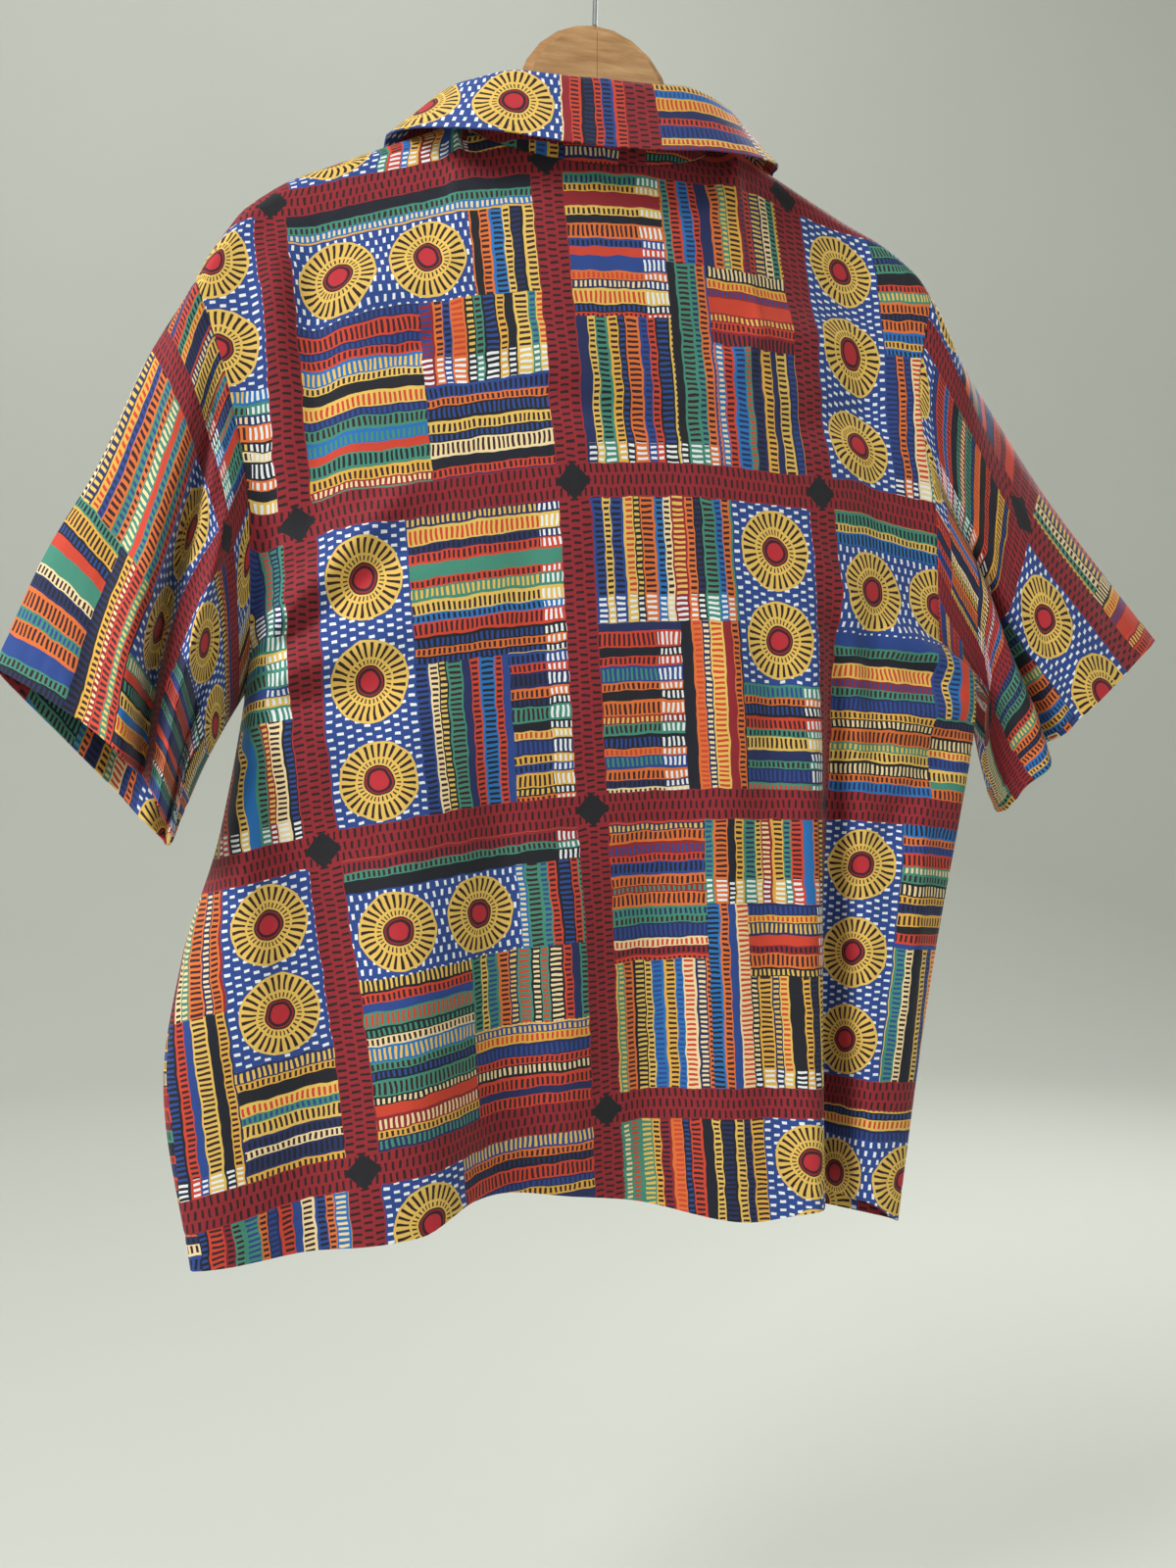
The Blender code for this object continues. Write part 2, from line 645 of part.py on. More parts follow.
def cloth_wall(name, grid, normals, meeting, ring, finish):
    """Gives a grid its thickness and closes it all round. Meeting counts the panels at each point."""
    rows, columns = len(grid), len(grid[0])
    made = bmesh.new()
    outer = []
    inner = []
    for j in range(rows):
        outer.append([])
        inner.append([])
        for i in range(columns):
            normal = normals[j][i].normalized()
            place = grid[j][i].copy()
            gap = {1: 0.0, 2: SEAM_GAP / 2}.get(meeting[j][i], SEAM_GAP)
            for way, tangent in inward(grid, j, i, ring):
                side = normal.cross(tangent)
                if side.length == 0:
                    continue
                side.normalize()
                if side.dot(way) < 0:
                    side.negate()
                place += side * gap
            outer[j].append(made.verts.new(place))
            inner[j].append(made.verts.new(place - normal * CLOTH))
    last = columns if ring else columns - 1
    for j in range(rows - 1):
        for i in range(last):
            k = (i + 1) % columns
            made.faces.new((outer[j][i], outer[j][k], outer[j + 1][k], outer[j + 1][i]))
            made.faces.new((inner[j][i], inner[j + 1][i], inner[j + 1][k], inner[j][k]))
    edges = [((j, i), (j, (i + 1) % columns)) for j in (0, rows - 1) for i in range(last)]
    if not ring:
        edges += [((j, i), (j + 1, i)) for i in (0, columns - 1) for j in range(rows - 1)]
    for a, b in edges:
        if key(grid[a[0]][a[1]]) > key(grid[b[0]][b[1]]):
            a, b = b, a
        near, far = outer[a[0]][a[1]], inner[b[0]][b[1]]
        made.faces.new((near, outer[b[0]][b[1]], far))
        made.faces.new((near, far, inner[a[0]][a[1]]))
    mesh = bpy.data.meshes.new(name)
    made.to_mesh(mesh)
    made.free()
    return add_object(name, mesh, finish)


def shirt_grids():
    """The outer faces of all panels, each with whether it is a ring."""
    back = body_grid("back", back_columns())
    front_left = body_grid("front", front_columns("left"))
    front_right = body_grid("front", front_columns("right"))
    underarm = len(RIDGE_DROPS) + ARMHOLE_STEPS
    left_back = [row[0] for row in back[:underarm]]
    left_front = [row[0] for row in front_left[:underarm]]
    right_back = [row[-1] for row in back[:underarm]]
    right_front = [row[0] for row in front_right[:underarm]]
    return {
        "back": (back, False),
        "front_left": (front_left, False),
        "front_right": (front_right, False),
        "sleeve_left": (sleeve_grid(LEFT_SLEEVE, LEFT_CREASES, left_back, left_front), True),
        "sleeve_right": (sleeve_grid(RIGHT_SLEEVE, RIGHT_CREASES, right_back, right_front), True),
        "collar": (collar_grid(), False),
    }


def orient(name, grid, normals):
    """Turns a grid's normals outwards, judged at its middle."""
    j, i = len(grid) // 2, len(grid[0]) // 4
    outward = {"back": Vector((0, -1, 0)), "front_left": Vector((0, 1, 0)),
               "front_right": Vector((0, 1, 0)), "sleeve_left": Vector((0, -1, 0)),
               "sleeve_right": Vector((0, -1, 0))}
    if name == "collar":
        j, i = 1, len(grid[0]) // 2
        outward[name] = Vector((0, -1, 0))
    if normals[j][i].dot(outward[name]) < 0:
        return [[-normal for normal in row] for row in normals]
    return normals


def build_shirt(finishes):
    grids = shirt_grids()
    normals = {name: orient(name, grid, grid_normals(grid, ring)) for name, (grid, ring) in grids.items()}
    shared = {}
    for name, (grid, ring) in grids.items():
        for row, row_normals in zip(grid, normals[name]):
            for point, normal in zip(row, row_normals):
                shared.setdefault(key(point), []).append(normal.normalized())
    for name, (grid, ring) in grids.items():
        joined = [[sum(shared[key(point)], Vector()) for point in row] for row in grid]
        meeting = [[len(shared[key(point)]) for point in row] for row in grid]
        cloth_wall(name, grid, joined, meeting, ring, finishes[name])


def build_buttons(finish):
    """Turned discs on the outer face of the left front."""
    centre_front, edge = front_columns("left")[-2:]
    for number, drop in enumerate(BUTTON_DROPS, start=1):
        centre = body_point("front", centre_front, drop)
        down = body_point("front", centre_front, drop + BUTTON_STEP) - centre
        across = body_point("front", edge, drop) - centre
        out = across.cross(down)
        if out.y < 0:
            out.negate()
        out.normalize()
        made = bmesh.new()
        bmesh.ops.create_cone(made, cap_ends=True, segments=16, radius1=BUTTON_RADIUS,
                              radius2=BUTTON_RADIUS, depth=BUTTON_THICKNESS)
        rims = [edge for edge in made.edges if abs(edge.verts[0].co.z - edge.verts[1].co.z) < 1e-6]
        bmesh.ops.bevel(made, geom=rims, offset=BUTTON_EDGE, segments=1, affect="EDGES")
        turn = Vector((0, 0, 1)).rotation_difference(out).to_matrix().to_4x4()
        bmesh.ops.transform(made, matrix=turn, verts=made.verts)
        seat = 2 * SEAM_GAP + BUTTON_THICKNESS / 2
        bmesh.ops.translate(made, vec=centre + out * seat, verts=made.verts)
        mesh = bpy.data.meshes.new("button")
        made.to_mesh(mesh)
        made.free()
        add_object(f"button_{number}", mesh, finish)


def hanger_outline():
    """One half's outline, from the dome's top out along the arm, round its end and back below."""
    points = [(row.out, row.z) for row in HANGER_TOP]
    under_cloth = CLOTH / math.cos(math.atan(SHOULDER_SLOPE)) + HANGER_BELOW_CLOTH
    for out in HANGER_ARM_OUTS:
        points.append((out, along(SHOULDER, out, "z") - under_cloth))
    centre_out = HANGER_END_OUT
    centre_z = along(SHOULDER, HANGER_REACH_OUT, "z") - under_cloth - HANGER_END_RADIUS
    for angle in HANGER_END_ANGLES:
        turn = math.radians(angle)
        points.append((centre_out + HANGER_END_RADIUS * math.cos(turn),
                       centre_z + HANGER_END_RADIUS * math.sin(turn)))
    points += [(row.out, row.z) for row in HANGER_BOTTOM]
    return points


def build_hanger(finish):
    """Two wooden halves with rounded edges, mirrored about the joint."""
    for name, side in (("hanger_half_left", -1), ("hanger_half_right", 1)):
        made = bmesh.new()
        ring = []
        for out, z in hanger_outline():
            x = side * (out + HANGER_JOINT / 2)
            ring.append(made.verts.new((x, -HANGER_THICKNESS / 2, z)))
        face = made.faces.new(ring)
        grown = bmesh.ops.extrude_face_region(made, geom=[face])
        far = [item for item in grown["geom"] if isinstance(item, bmesh.types.BMVert)]
        bmesh.ops.translate(made, vec=(0, HANGER_THICKNESS, 0), verts=far)
        rims = []
        for edge in made.edges:
            a, b = (vert.co for vert in edge.verts)
            flat = abs(a.y - b.y) < 1e-6
            on_joint = abs(a.x) < HANGER_JOINT and abs(b.x) < HANGER_JOINT
            if flat and not on_joint:
                rims.append(edge)
        bmesh.ops.bevel(made, geom=rims, offset=HANGER_EDGE, segments=2, affect="EDGES")
        mesh = bpy.data.meshes.new(name)
        made.to_mesh(mesh)
        made.free()
        add_object(name, mesh, finish, smooth_angle=50)


def build_hook(finish):
    """A wire that rises from the wood and bends over into the bowl."""
    centre_z = -BOWL_RADIUS
    radius = BOWL_RADIUS + WIRE_RADIUS
    bowl = []
    for i in range(BOWL_POINTS):
        angle = math.radians(mix(BOWL_START, BOWL_END, i / (BOWL_POINTS - 1)))
        bowl.append(Vector((radius * math.cos(angle), 0, centre_z + radius * math.sin(angle))))
    foot = Vector((0, 0, HANGER_TOP[0].z + HOOK_STANDOFF))
    first_way = Vector((math.sin(math.radians(BOWL_START)), 0, -math.cos(math.radians(BOWL_START))))
    reach = (bowl[0] - foot).length
    handles = (foot, foot + Vector((0, 0, 0.45 * reach)), bowl[0] - first_way * 0.30 * reach, bowl[0])
    stem = []
    for i in range(STEM_POINTS):
        t = i / STEM_POINTS
        stem.append(handles[0] * (1 - t) ** 3 + handles[1] * 3 * t * (1 - t) ** 2
                    + handles[2] * 3 * t * t * (1 - t) + handles[3] * t ** 3)
    points = stem + bowl
    curve = bpy.data.curves.new("hanger_hook", "CURVE")
    curve.dimensions = "3D"
    curve.bevel_depth = WIRE_RADIUS
    curve.bevel_resolution = 2
    curve.use_fill_caps = True
    spline = curve.splines.new("POLY")
    spline.points.add(len(points) - 1)
    for place, point in zip(spline.points, points):
        place.co = (*point, 1.0)
    curve.materials.append(finish)
    holder = bpy.data.objects.new("hanger_hook", curve)
    bpy.context.collection.objects.link(holder)


def main():
    for item in list(bpy.data.objects):
        bpy.data.objects.remove(item, do_unlink=True)
    sleeve = material("print_sleeve", PRINT_SLEEVE, 0.85)
    front = material("print_front", PRINT_FRONT, 0.85)
    build_shirt({
        "back": material("print_back", PRINT_BACK, 0.85),
        "front_left": front,
        "front_right": front,
        "sleeve_left": sleeve,
        "sleeve_right": sleeve,
        "collar": material("print_collar", PRINT_COLLAR, 0.85),
    })
    build_buttons(material("button_navy", BUTTON_NAVY, 0.35))
    build_hanger(material("pale_wood", PALE_WOOD, 0.5))
    build_hook(material("steel_wire", STEEL, 0.3, 1.0))


main()
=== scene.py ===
# %% [markdown]
# # A wide african print shirt on a wooden hanger
#
# The shirt is sewn from a back, two fronts, two sleeves and a collar, all of one printed cotton. It
# hangs empty, so its shape is that of limp cloth: it turns over the hanger, hangs plumb from there, and
# gathers in folds below the armholes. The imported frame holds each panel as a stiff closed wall. Here
# each wall is replaced by a thin shell of the same form with finer creases, and the shell carries the
# printed cloth, the hems and the stitches.

# %% Open the frame
import math
from collections import namedtuple

import bpy
import numpy as np
from mathutils import Matrix, Vector


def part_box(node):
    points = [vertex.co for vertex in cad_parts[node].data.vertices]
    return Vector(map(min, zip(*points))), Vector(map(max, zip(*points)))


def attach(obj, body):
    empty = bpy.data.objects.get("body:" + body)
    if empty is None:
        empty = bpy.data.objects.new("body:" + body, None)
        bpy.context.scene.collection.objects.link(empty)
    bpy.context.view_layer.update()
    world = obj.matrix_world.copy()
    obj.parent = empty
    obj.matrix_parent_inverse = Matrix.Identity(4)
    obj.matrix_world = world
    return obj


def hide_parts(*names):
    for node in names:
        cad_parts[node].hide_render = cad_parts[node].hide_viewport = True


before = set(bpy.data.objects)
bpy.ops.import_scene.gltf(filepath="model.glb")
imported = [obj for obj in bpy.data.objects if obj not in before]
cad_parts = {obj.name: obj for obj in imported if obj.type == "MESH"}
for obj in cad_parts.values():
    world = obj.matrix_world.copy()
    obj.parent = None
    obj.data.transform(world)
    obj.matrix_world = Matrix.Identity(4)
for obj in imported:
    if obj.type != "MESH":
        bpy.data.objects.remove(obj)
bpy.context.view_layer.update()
print("CAD nodes:", len(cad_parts))

# %% [markdown]
# ## Small helpers for smooth shapes
#
# A drape is easiest to describe by a few rows of sizes, with everything between them read off smoothly.
# These helpers work on whole arrays at once, because a shell has tens of thousands of points.


# %% Helpers for smooth shapes
def mix(a, b, share):
    return a + (b - a) * share


def ease(share):
    """Rises smoothly from 0 to 1."""
    share = np.clip(share, 0.0, 1.0)
    return share * share * (3 - 2 * share)


def curl(share):
    """The height of a quarter circle, for cloth that turns over an edge."""
    share = np.clip(share, 0.0, 1.0)
    return np.sqrt(1 - (1 - share) ** 2)


def between(places, values, where):
    """Reads values smoothly between their places, without swinging past them."""
    places = np.asarray(places, float)
    values = np.asarray(values, float)
    steps = np.diff(places)
    rises = np.diff(values) / steps
    slopes = np.zeros(len(places))
    slopes[0], slopes[-1] = rises[0], rises[-1]
    product = rises[:-1] * rises[1:]
    total = rises[:-1] + rises[1:]
    slopes[1:-1] = np.where(product > 0, 2 * product / np.where(total == 0, 1, total), 0)
    i = np.clip(np.searchsorted(places, where, side="right") - 1, 0, len(places) - 2)
    t = np.clip((where - places[i]) / steps[i], 0, 1)
    start = (1 + 2 * t) * (1 - t) ** 2 * values[i] + t * (1 - t) ** 2 * slopes[i] * steps[i]
    end = t * t * (3 - 2 * t) * values[i + 1] + t * t * (t - 1) * slopes[i + 1] * steps[i]
    return start + end


def along(table, where, column):
    """Reads one column of a table whose first column is the place."""
    return between([row[0] for row in table], [getattr(row, column) for row in table], where)


def units(vectors):
    """The same directions with a length of 1."""
    return vectors / np.linalg.norm(vectors, axis=-1, keepdims=True)


def run_along(line):
    """How far each point of a line lies from its start, measured along the line."""
    return np.concatenate([[0], np.cumsum(np.linalg.norm(np.diff(line, axis=0), axis=1))])


# %% [markdown]
# ## The cut and the drape in numbers
#
# The same sizes shape the stiff walls of the frame, so the shells lie on them. Tables of a few rows are
# easier to read and to change than a modelled mesh. A drop of 0 is the shoulder seam and a drop of 1 is
# the hem.

# %% Sides, shoulders and hem
Side = namedtuple("Side", "drop left right left_y right_y")
SIDES = (
    Side(0.000, -0.2820, 0.2600, 0.000, 0.000),
    Side(0.110, -0.2600, 0.2490, 0.000, 0.000),
    Side(0.250, -0.2455, 0.2645, 0.000, -0.002),
    Side(0.380, -0.2445, 0.2680, 0.000, -0.012),
    Side(0.426, -0.2480, 0.2950, 0.000, -0.026),
    Side(0.580, -0.2670, 0.2760, -0.010, -0.036),
    Side(0.700, -0.2905, 0.2580, -0.022, -0.036),
    Side(0.820, -0.3020, 0.2400, -0.040, -0.042),
    Side(1.000, -0.2850, 0.2150, -0.060, -0.055),
)
UNDERARM_DROP = 0.426
Ridge = namedtuple("Ridge", "out z")
SHOULDER = (
    Ridge(0.080, -0.1475), Ridge(0.096, -0.1542), Ridge(0.140, -0.1725), Ridge(0.190, -0.1950),
    Ridge(0.220, -0.2090), Ridge(0.239, -0.2225), Ridge(0.250, -0.2320), Ridge(0.260, -0.2460),
    Ridge(0.273, -0.2660), Ridge(0.282, -0.2840),
)
Hem = namedtuple("Hem", "across back_z front_z")
HEM = (
    Hem(0.000, -0.934, -0.934),
    Hem(0.288, -0.919, -0.926),
    Hem(0.374, -0.905, -0.920),
    Hem(0.576, -0.9165, -0.922),
    Hem(0.774, -0.933, -0.930),
    Hem(0.864, -0.925, -0.934),
    Hem(0.938, -0.925, -0.938),
    Hem(1.000, -0.942, -0.942),
)

# %% Drape and folds of the body
DRAPE_ACROSS = (0.08, 0.29, 0.45, 0.60, 0.77, 0.90)
Drape = namedtuple("Drape", "drop far_left left mid_left mid_right right far_right")
DRAPES = {
    "back": (
        Drape(0.00, -0.014, -0.022, -0.044, -0.044, -0.022, -0.014),
        Drape(0.15, -0.022, -0.034, -0.047, -0.047, -0.034, -0.020),
        Drape(0.42, -0.034, -0.044, -0.049, -0.049, -0.045, -0.034),
        Drape(0.70, -0.050, -0.058, -0.047, -0.045, -0.050, -0.050),
        Drape(1.00, -0.070, -0.080, -0.034, -0.032, -0.058, -0.062),
    ),
    "front": (
        Drape(0.00, 0.012, 0.011, 0.040, 0.040, 0.011, 0.012),
        Drape(0.07, 0.015, 0.014, 0.042, 0.042, 0.014, 0.015),
        Drape(0.17, 0.021, 0.026, 0.043, 0.043, 0.026, 0.021),
        Drape(0.42, 0.024, 0.034, 0.042, 0.042, 0.034, 0.024),
        Drape(0.70, 0.006, 0.022, 0.036, 0.036, 0.028, 0.022),
        Drape(1.00, -0.022, 0.010, 0.034, 0.030, 0.020, 0.014),
    ),
}
Fold = namedtuple("Fold", "top_drop low_drop top_x low_x width top_height low_height")
FOLDS = {
    "back": (
        Fold(0.03, 0.40, -0.232, -0.222, 0.016, 0.010, 0.006),
        Fold(0.36, 1.00, 0.148, 0.143, 0.022, 0.004, 0.014),
        Fold(0.36, 1.00, 0.174, 0.169, 0.012, -0.004, -0.050),
        Fold(0.36, 0.62, 0.206, 0.200, 0.014, -0.008, -0.006),
        Fold(0.52, 1.00, -0.190, -0.210, 0.030, 0.000, -0.012),
    ),
    "front": (
        Fold(0.05, 0.50, -0.225, -0.200, 0.018, 0.009, 0.004),
        Fold(0.45, 1.00, -0.175, -0.185, 0.024, 0.000, 0.016),
        Fold(0.50, 1.00, -0.130, -0.130, 0.022, 0.000, -0.014),
        Fold(0.45, 1.00, 0.150, 0.112, 0.024, 0.000, 0.018),
        Fold(0.50, 1.00, 0.100, 0.064, 0.020, 0.000, -0.012),
    ),
}
FOLD_FADE_IN = 0.2
FOLD_FADE_OUT = 0.3

# %% Turns at the ridge, the sides and the armholes
RIDGE_CURL = 0.012
NECK_CURL = 0.080
SIDE_CURL = 0.036
FRONT_SIDE_BLEND = 0.090
FRONT_SIDE_SOFT = 0.75
ARMHOLE_BLEND = 0.070
ARMHOLE_DEPTH = 0.024
ARMHOLE_POWERS = (2.5, 0.8)
ARMHOLE_LOW_SHARE = 0.25

# %% Neck, lap and the spacing of the frame's columns and rows
CLOTH = 0.0013
SEAM_GAP = 0.0003
NECK_X = -0.006
NECK_RISE = 0.0015
NECK_HALF_WIDTH = 0.092
NECK_HALF_DEPTH = 0.045
BACK_NECK_POWER = 0.8
FRONT_NECK_POWER = 0.6
BACK_NECK_FALL = 0.039
FRONT_NECK_FALL = 0.102
FRONT_FALL_POWER = 1.15
NECK_FAN = 0.010
NECK_FAN_WIDTH = 0.012
EDGE_PAST_CENTRE = 0.015
LAP_RISE_RUN = 0.005
LAP_GAP = 1.5 * SEAM_GAP
COLLAR_END_X = 0.022
SHOULDER_STEPS = 9
NECK_STEPS = 12
FRONT_NECK_STEPS = 7
EDGE_STEPS = 13
FRONT_NECK_CROWDING = 1.4
ARMHOLE_STEPS = 11
BODY_STEPS = 11
RIDGE_DROPS = (0.0, 0.0018, 0.0060, 0.0130, 0.0220)
EVEN_DROP = 0.38
SIDE_CROWDING = 0.6
SIDE_PULL = 8
BACK_RIGHT_HEM_X = (0, 0.024, 0.048, 0.071, 0.093, 0.113, 0.130, 0.143, 0.153, 0.161, 0.169, 0.178,
                    0.189, 0.201, 0.210, 0.215)
FINER_ACROSS = 4
FINER_DOWN = 6
FINER_RIDGE = 2
FINER_HEM = 14

# %% [markdown]
# ## Creases
#
# The large folds above are in the frame as well. Smaller creases are laid on here one by one, because a
# simulated drape would leave the outline of the frame. Each one runs from a start to an end, is highest
# in its first half, and fades out softly. On the body a place is an x and a drop, and a positive height
# stands out.

# %% The body's creases
BODY_LENGTH = 0.70
CREASE_FADE_IN, CREASE_FADE_OUT, CREASE_END = 0.3, 0.6, 1.15
Crease = namedtuple("Crease", "x drop end_x end_drop width height")
CREASES = {
    "back": (
        Crease(-0.236, 0.060, -0.227, 0.430, 0.011, 0.0075),
        Crease(-0.205, 0.080, -0.200, 0.400, 0.014, -0.0040),
        Crease(-0.180, 0.120, 0.020, 0.225, 0.015, 0.0045),
        Crease(-0.150, 0.210, 0.100, 0.262, 0.013, -0.0050),
        Crease(0.210, 0.110, 0.060, 0.225, 0.014, 0.0045),
        Crease(0.235, 0.150, 0.110, 0.300, 0.013, -0.0045),
        Crease(-0.245, 0.425, -0.110, 0.330, 0.012, 0.0065),
        Crease(-0.245, 0.450, -0.120, 0.395, 0.011, -0.0060),
        Crease(-0.245, 0.470, -0.100, 0.480, 0.013, 0.0070),
        Crease(-0.247, 0.490, -0.120, 0.540, 0.012, -0.0060),
        Crease(-0.252, 0.480, -0.165, 0.650, 0.013, 0.0080),
        Crease(-0.252, 0.510, -0.200, 0.720, 0.011, -0.0080),
        Crease(-0.262, 0.540, -0.236, 0.800, 0.012, 0.0080),
        Crease(-0.150, 0.560, -0.140, 0.980, 0.026, 0.0070),
        Crease(-0.080, 0.600, -0.085, 1.050, 0.021, -0.0075),
        Crease(-0.030, 0.700, -0.030, 1.050, 0.019, 0.0065),
        Crease(0.030, 0.640, 0.035, 1.050, 0.021, -0.0060),
        Crease(0.085, 0.460, 0.085, 1.050, 0.023, 0.0080),
        Crease(0.270, 0.425, 0.140, 0.370, 0.011, 0.0055),
        Crease(0.270, 0.445, 0.150, 0.440, 0.010, -0.0060),
        Crease(0.270, 0.470, 0.170, 0.540, 0.011, 0.0065),
        Crease(0.262, 0.510, 0.195, 0.660, 0.011, -0.0060),
        Crease(0.240, 0.580, 0.213, 0.900, 0.012, 0.0070),
        Crease(0.060, 0.330, 0.110, 0.620, 0.015, 0.0040),
        Crease(-0.060, 0.330, -0.050, 0.560, 0.019, -0.0035),
    ),
    "front": (
        Crease(-0.236, 0.060, -0.227, 0.430, 0.012, 0.0060),
        Crease(-0.240, 0.430, -0.110, 0.340, 0.013, 0.0060),
        Crease(-0.245, 0.470, -0.110, 0.500, 0.012, -0.0060),
        Crease(-0.240, 0.520, -0.190, 0.740, 0.013, 0.0065),
        Crease(-0.080, 0.420, -0.075, 0.960, 0.021, 0.0065),
        Crease(-0.200, 0.140, -0.080, 0.260, 0.014, 0.0045),
        Crease(-0.170, 0.230, -0.090, 0.330, 0.012, -0.0040),
        Crease(0.250, 0.440, 0.120, 0.370, 0.013, 0.0055),
        Crease(0.245, 0.500, 0.140, 0.540, 0.012, -0.0060),
        Crease(0.200, 0.130, 0.070, 0.250, 0.014, 0.0045),
        Crease(0.060, 0.460, 0.050, 0.960, 0.021, 0.0055),
        Crease(0.190, 0.560, 0.170, 0.940, 0.013, 0.0070),
    ),
}
print("creases:", {face: len(rows) for face, rows in CREASES.items()})


def crease_heights(creases, x, drop, length):
    """The sum of creases at places given by an x and a drop, for a panel of that length."""
    total = np.zeros_like(x)
    for crease in creases:
        run_x = crease.end_x - crease.x
        run_z = (crease.end_drop - crease.drop) * length
        reach = math.hypot(run_x, run_z)
        from_x = x - crease.x
        from_z = (drop - crease.drop) * length
        share = (from_x * run_x + from_z * run_z) / reach ** 2
        away = (from_x * run_z - from_z * run_x) / reach
        fade = ease(share / CREASE_FADE_IN + 0.5) * ease((CREASE_END - share) / CREASE_FADE_OUT)
        total += crease.height * fade * np.exp(-((away / crease.width) ** 2))
    return total


# %% [markdown]
# ## Body panels
#
# A panel is a net of columns that hang from the shoulder or neck seam, and of rows that all panels
# share. The back reaches from armhole to armhole. Each front ends in a free edge, and the wearer's left
# one laps over the right.


# %% Points of the neck seam
def neck_points(face, turns):
    """Points of the neck seam. Turn is -90 at the left neck point and 90 at the right one."""
    angle = np.radians(turns)
    towards_centre = np.maximum(np.cos(angle), 0.0)
    left = along(SHOULDER, NECK_HALF_WIDTH - NECK_X, "z")
    right = along(SHOULDER, NECK_HALF_WIDTH + NECK_X, "z")
    ends = mix(left, right, (1 + np.sin(angle)) / 2) + NECK_RISE
    x = NECK_X + NECK_HALF_WIDTH * np.sin(angle)
    if face == "back":
        y = -NECK_HALF_DEPTH * towards_centre ** BACK_NECK_POWER
        z = ends - BACK_NECK_FALL * towards_centre
    else:
        y = NECK_HALF_DEPTH * towards_centre ** FRONT_NECK_POWER
        z = ends - FRONT_NECK_FALL * towards_centre ** FRONT_FALL_POWER
    return np.stack([x, y, z], -1)


def neck_turn(x):
    return np.degrees(np.arcsin((x - NECK_X) / NECK_HALF_WIDTH))


# %% How far the body stands out
TINY = 1e-12


def body_y(face, x, drop, below_top, top_y, soft):
    """How far a row of points stands out, towards -Y on the back and +Y on the front."""
    sign = -1 if face == "back" else 1
    left = along(SIDES, drop, "left")
    right = along(SIDES, drop, "right")
    values = [along(DRAPES[face], drop, name) for name in Drape._fields[1:]]
    inner = between(DRAPE_ACROSS, values, (x - left) / (right - left))
    for fold in FOLDS[face]:
        t = (drop - fold.top_drop) / (fold.low_drop - fold.top_drop)
        if t <= 0 or t > 1:
            continue
        fade = ease(t / FOLD_FADE_IN) * (ease((1 - t) / FOLD_FADE_OUT) if fold.low_drop < 1 else 1)
        away = (x - mix(fold.top_x, fold.low_x, t)) / fold.width
        height = mix(fold.top_height, fold.low_height, t) * fade
        inner = inner + sign * height * np.exp(-away * away)
    inner = inner + sign * crease_heights(CREASES[face], x, drop, BODY_LENGTH)
    below = below_top / mix(RIDGE_CURL, NECK_CURL, soft)
    inner = mix(top_y, inner, mix(curl(below), ease(below), soft))
    side = np.where(x < 0, along(SIDES, drop, "left_y"), along(SIDES, drop, "right_y"))
    from_edge = np.minimum(x - left, right - x)
    side_turn = curl(from_edge / SIDE_CURL)
    if face == "front":
        side_turn = mix(side_turn, ease(from_edge / FRONT_SIDE_BLEND), FRONT_SIDE_SOFT)
    if drop >= UNDERARM_DROP - TINY:
        return mix(side, inner, side_turn)
    share = drop / UNDERARM_DROP
    steep, blunt = ARMHOLE_POWERS
    edge = side + sign * ARMHOLE_DEPTH * (1 - share ** steep) ** blunt * curl(below_top / RIDGE_CURL)
    rounded = mix(side_turn, ease(from_edge / ARMHOLE_BLEND), ease((1 - share) / ARMHOLE_LOW_SHARE))
    return mix(edge, inner, rounded)


# %% Columns of the back and the fronts
Columns = namedtuple("Columns", "top soft hem_x keep_x lift")


def crowded(out):
    return mix(out, np.sin(math.pi / 2 * out), SIDE_CROWDING)


def shoulder_tops(side):
    """Points of the shoulder seam from the armhole to the neck."""
    tip = SIDES[0].left if side == "left" else SIDES[0].right
    neck = neck_points("back", np.array([-90.0 if side == "left" else 90.0]))[0]
    share = np.arange(SHOULDER_STEPS * FINER_ACROSS + 1) / (SHOULDER_STEPS * FINER_ACROSS)
    x = mix(tip, neck[0], 1 - np.cos(math.pi / 2 * share))
    tops = np.stack([x, np.zeros_like(x), along(SHOULDER, np.abs(x), "z")], -1)
    tops[-1] = neck
    return tops


def back_columns():
    steps = NECK_STEPS * FINER_ACROSS
    turns = mix(-90, 90, np.arange(1, steps) / steps)
    left, right = shoulder_tops("left"), shoulder_tops("right")[::-1]
    top = np.concatenate([left, neck_points("back", turns), right])
    soft = np.concatenate([np.zeros(len(left)), np.cos(np.radians(turns)), np.zeros(len(right))])
    half = len(top) // 2
    place = np.arange(len(top)) - half
    right_x = between(range(len(BACK_RIGHT_HEM_X)), BACK_RIGHT_HEM_X, place / FINER_ACROSS)
    hem_x = np.where(place > 0, right_x, SIDES[-1].left * crowded(-place / half))
    nowhere = np.full(len(top), np.nan)
    return Columns(top, soft, hem_x, nowhere, np.zeros(len(top)))


def front_neck_turns(sign):
    """Turns from a neck point to the collar's end, closer together at the neck point."""
    steps = FRONT_NECK_STEPS * FINER_ACROSS
    shares = (np.arange(1, steps + 1) / steps) ** FRONT_NECK_CROWDING
    return mix(sign * 90, neck_turn(sign * COLLAR_END_X), shares)


